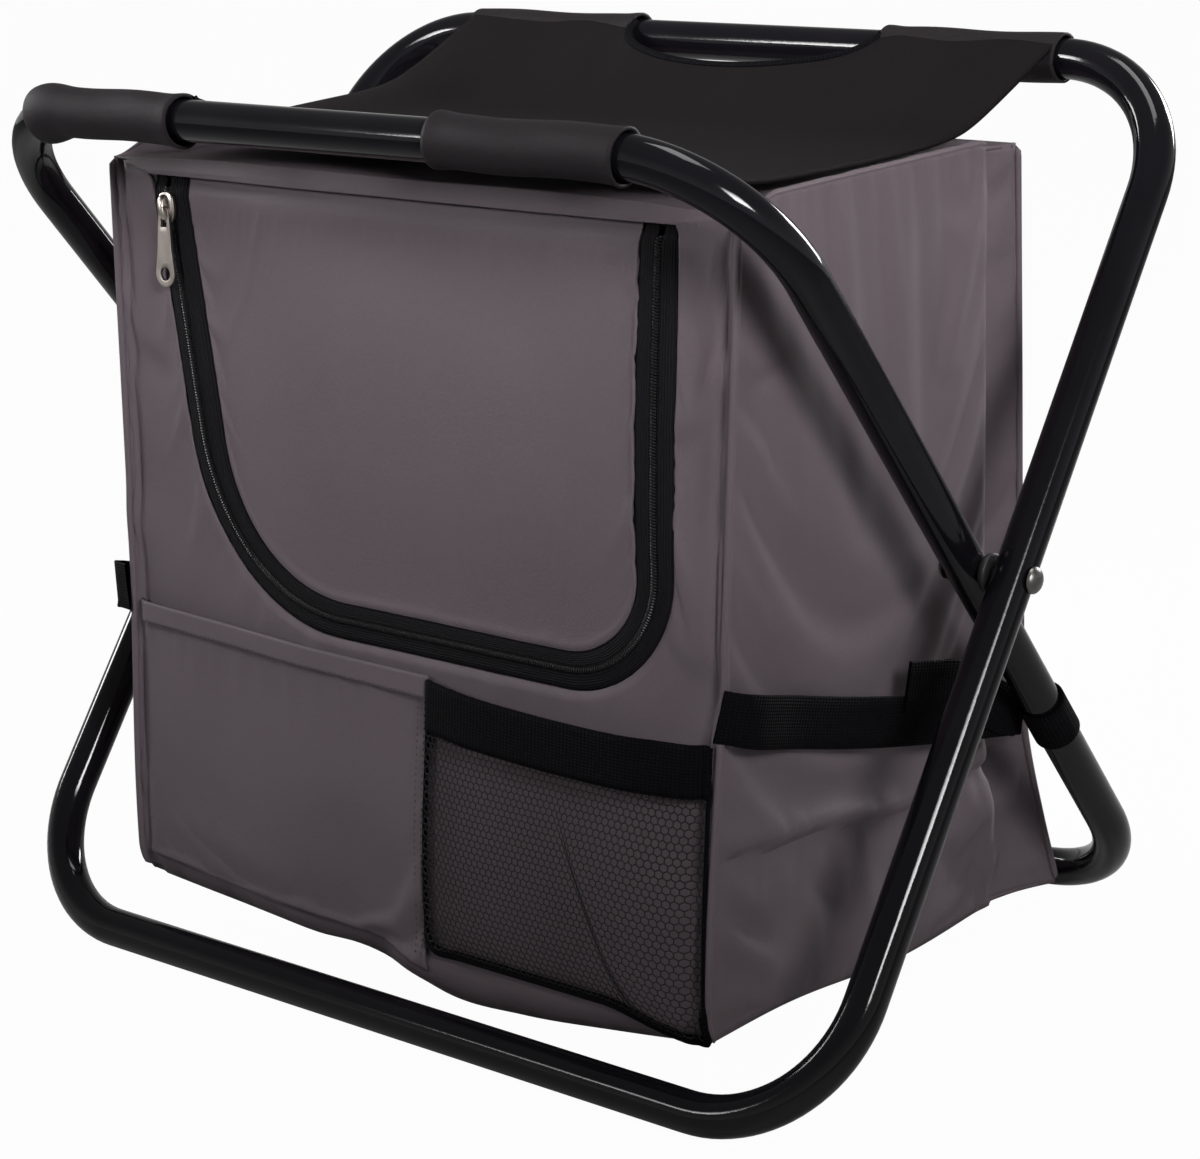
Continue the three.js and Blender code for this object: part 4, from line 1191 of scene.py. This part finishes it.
t = np.linspace(0, 1, 101)[None]
front_x, rear_x = seat_places(-1, -149, 140)[:, None], seat_places(1, -153, 153)[:, None]
side_in = 1 - 0.016 * np.sin(np.pi * t)
seat_x = (front_x + t * (rear_x - front_x)) * side_in
seat_y = seat_edge(-1, front_x) + t * (seat_edge(1, rear_x) - seat_edge(-1, front_x))
seat_grid = np.stack([seat_x, seat_y, seat_height(seat_x, seat_y)], -1)
seat_weave = coated_cloth((0.005, 0.0042, 0.0046), (0.014, 0.0118, 0.0125), gloss=0.6, shine=0.03)
seat_cloth = finish("seat_cloth", seat_weave)
shape = surface("seat_sling", (seat_grid, np.stack([seat_x, seat_y], -1)))
sling = piece(shape, seat_cloth, "seat_cloth", "cooler_bag", "seat_panel", wall=1.8)
flattens(sling)
for end, name in ((-1, "front"), (1, "rear")):
    x = hold_places(end, 81)
    y = seat_edge(end, x)
    path = np.stack([x, y, seat_height(x, y) - 0.7], -1)
    across = np.broadcast_to(np.array([0, 0, 1.0]), path.shape)
    shape = surface(f"{name}_hold_binding", swept(path, across, oval(1.9, 2.2, 12)))
    bound = piece(shape, black_webbing, "black_webbing", "cooler_bag", f"{name}_handhold_binding")
    flattens(bound)

# Rail sleeves: tunnels of black coated polyester round the rails, one on each side of each hand-hold.
# Each is closed by stitching to the sling, and those at the rear go with the rear rail.
SLEEVE_RADIUS, SLEEVE_TAIL = 9.9, 13.6
TAIL_TURN = 2.36


def rail_sleeve(end, near, far, width):
    """A cloth tunnel round a rail and the start of its bend: a ring and its tangents to the stitching under
    the sling, which make a drop shape, with soft wrinkles round it and a slight flare at the hand-hold."""
    side, half = np.sign(far), width / 2 - BEND
    run = np.linspace(near, far, 61)
    turn = np.clip((np.abs(run) - half) / BEND, 0, None)
    x = side * (np.minimum(np.abs(run), half) + BEND * np.sin(turn))
    lean = -end * LEG_LEAN
    path = leant(x, RAIL_REACH - BEND * (1 - np.cos(turn)), lean)
    path[:, 2] += RIVET_HEIGHT
    outward = leant(side * np.sin(turn), np.cos(turn), lean)
    angle = np.linspace(0, 2 * np.pi, 49)[None]
    share = np.linspace(0, 1, 61)[:, None]
    wrap = np.arccos(SLEEVE_RADIUS / (SLEEVE_TAIL - 3.0 * eased((share - 0.78) / 0.22)))
    away = np.abs((angle + end * side * TAIL_TURN + np.pi) % (2 * np.pi) - np.pi)
    drop = SLEEVE_RADIUS / np.cos(np.clip(away - wrap, -wrap, 0))
    wrinkles = 0.35 * np.sin(9 * share + 2 * np.sin(angle))
    flare = 0.7 * hump(share, 0.06) + 1.9 * eased(turn / 0.3)[:, None]
    radius = drop + wrinkles + flare
    section = np.stack([radius * np.cos(angle), radius * np.sin(angle)], -1)
    return swept(path, outward, section)


# The sleeves are the sling's own black cloth, given a lighter colour here: painted light where they catch the
# lamps.
sleeve_weave_painted_lighter = coated_cloth((0.009, 0.0076, 0.0088), (0.021, 0.018, 0.020), gloss=0.52, shine=0.08)
sleeve_cloth_painted_lighter = finish("sleeve_cloth_painted_lighter", sleeve_weave_painted_lighter)
for end, name, body, width, *reaches in (
    (-1, "front", "cooler_bag", INNER_WIDTH, 153.0, 141.0),
    (1, "rear", "outer_frame", OUTER_WIDTH, 154.0, 154.0),
):
    for side, hand, reach in zip((-1, 1), ("left", "right"), reaches):
        near = HOLD_X[end] + side * HOLD_HALF
        shape = surface(f"{name}_{hand}_tunnel", rail_sleeve(end, near, side * reach, width))
        made = piece(shape, sleeve_cloth_painted_lighter, "seat_cloth", body, f"{name}_{hand}_sleeve", wall=1.3)

# Studio: a floor painted pale grey, which the camera sees almost as white, so that only a soft shadow shows.
# The surround is white to the camera and dims overhead in reflections. Soft boxes light the stool.
PAINT = {"Base Color": (0.6, 0.6, 0.6, 1), "Roughness": 0.8, "Specular IOR Level": 0.2}
floor_paint = bpy.data.materials.new("floor_paint")
floor_paint.use_nodes = True
floor_paint.node_tree.nodes.clear()
shade = Socket(floor_paint.node_tree)
seen = shade.node("LightPath", {}, {}, "Is Camera Ray")
plain = shade.node("BsdfPrincipled", {}, PAINT)
white = shade.node("Emission", {}, {"Color": (1, 1, 1, 1), "Strength": 1.0})
mixed = shade.node("MixShader", {}, {0: seen * 0.97, 1: plain, 2: white})
shade.node("OutputMaterial", {}, {"Surface": mixed})
reach = np.linspace(-6000, 6000, 5)
ground = np.stack(np.meshgrid(reach, reach, [0.0], indexing="ij"), -1)[:, :, 0]
floor = bpy.data.objects.new("floor", surface("floor", ground))
floor.data.materials.append(floor_paint)
bpy.context.collection.objects.link(floor)

world = bpy.data.worlds.new("surround")
bpy.context.scene.world = world
world.use_nodes = True
world.node_tree.nodes.clear()
shade = Socket(world.node_tree)
camera_ray, clear_ray, gloss = [
    shade.node("LightPath", {}, {}, f"Is {kind} Ray") for kind in ("Camera", "Transmission", "Glossy")
]
direct = camera_ray + clear_ray
rise = shade.node("SeparateXYZ", {}, {"Vector": shade.node("TexCoord", {}, {}, "Generated")}, "Z")
fading = {"Value": rise, "From Min": 0.05, "From Max": 0.55, "To Min": 0.5, "To Max": 0.1}
ceiling = shade.node("MapRange", {}, fading)
level = shade.maths("MAXIMUM", shade.maths("MINIMUM", direct, 1.0), gloss * ceiling)
back = shade.node("Background", {}, {"Color": (1, 1, 1, 1), "Strength": 0.09 + 0.91 * level})
shade.node("OutputWorld", {}, {"Surface": back})


def soft_lamp(name, place, aim, width, height, spread, power):
    """A soft box of a given size at a place, turned to face a point; its grid sets the spread, in degrees."""
    light = bpy.data.lights.new(name, "AREA")
    light.shape = "RECTANGLE"
    light.size, light.size_y, light.energy = width, height, power
    light.spread = np.radians(spread)
    lamp = bpy.data.objects.new(name, light)
    bpy.context.collection.objects.link(lamp)
    back = unit(np.array(place) - np.array(aim))
    side = unit(np.cross([0, 0, 1.0], back))
    up = np.cross(back, side)
    turned_to = np.stack([side, up, back, place], 1)
    lamp.matrix_world = Matrix([*turned_to.tolist(), [0, 0, 0, 1]])


soft_lamp("key", (-0.95, -1.5, 1.05), (-0.10, -0.05, 0.76), 0.5, 0.5, 44, 2.8)
soft_lamp("side", (1.48, -0.75, 1.10), (0.1, 0.02, 0.66), 0.5, 0.5, 47, 4.0)
soft_lamp("left", (-1.7, -0.2, 0.75), (-0.1, 0.0, 0.25), 0.6, 0.6, 50, 1.8)
soft_lamp("back", (0.3, 1.8, 0.7), (0.0, 0.1, 0.22), 0.6, 0.6, 50, 2.4)
soft_lamp("over", (0.15, 0.3, 1.9), (0, 0, 0.3), 0.9, 0.5, 120, 4)
bpy.context.scene.view_settings.view_transform = "Standard"
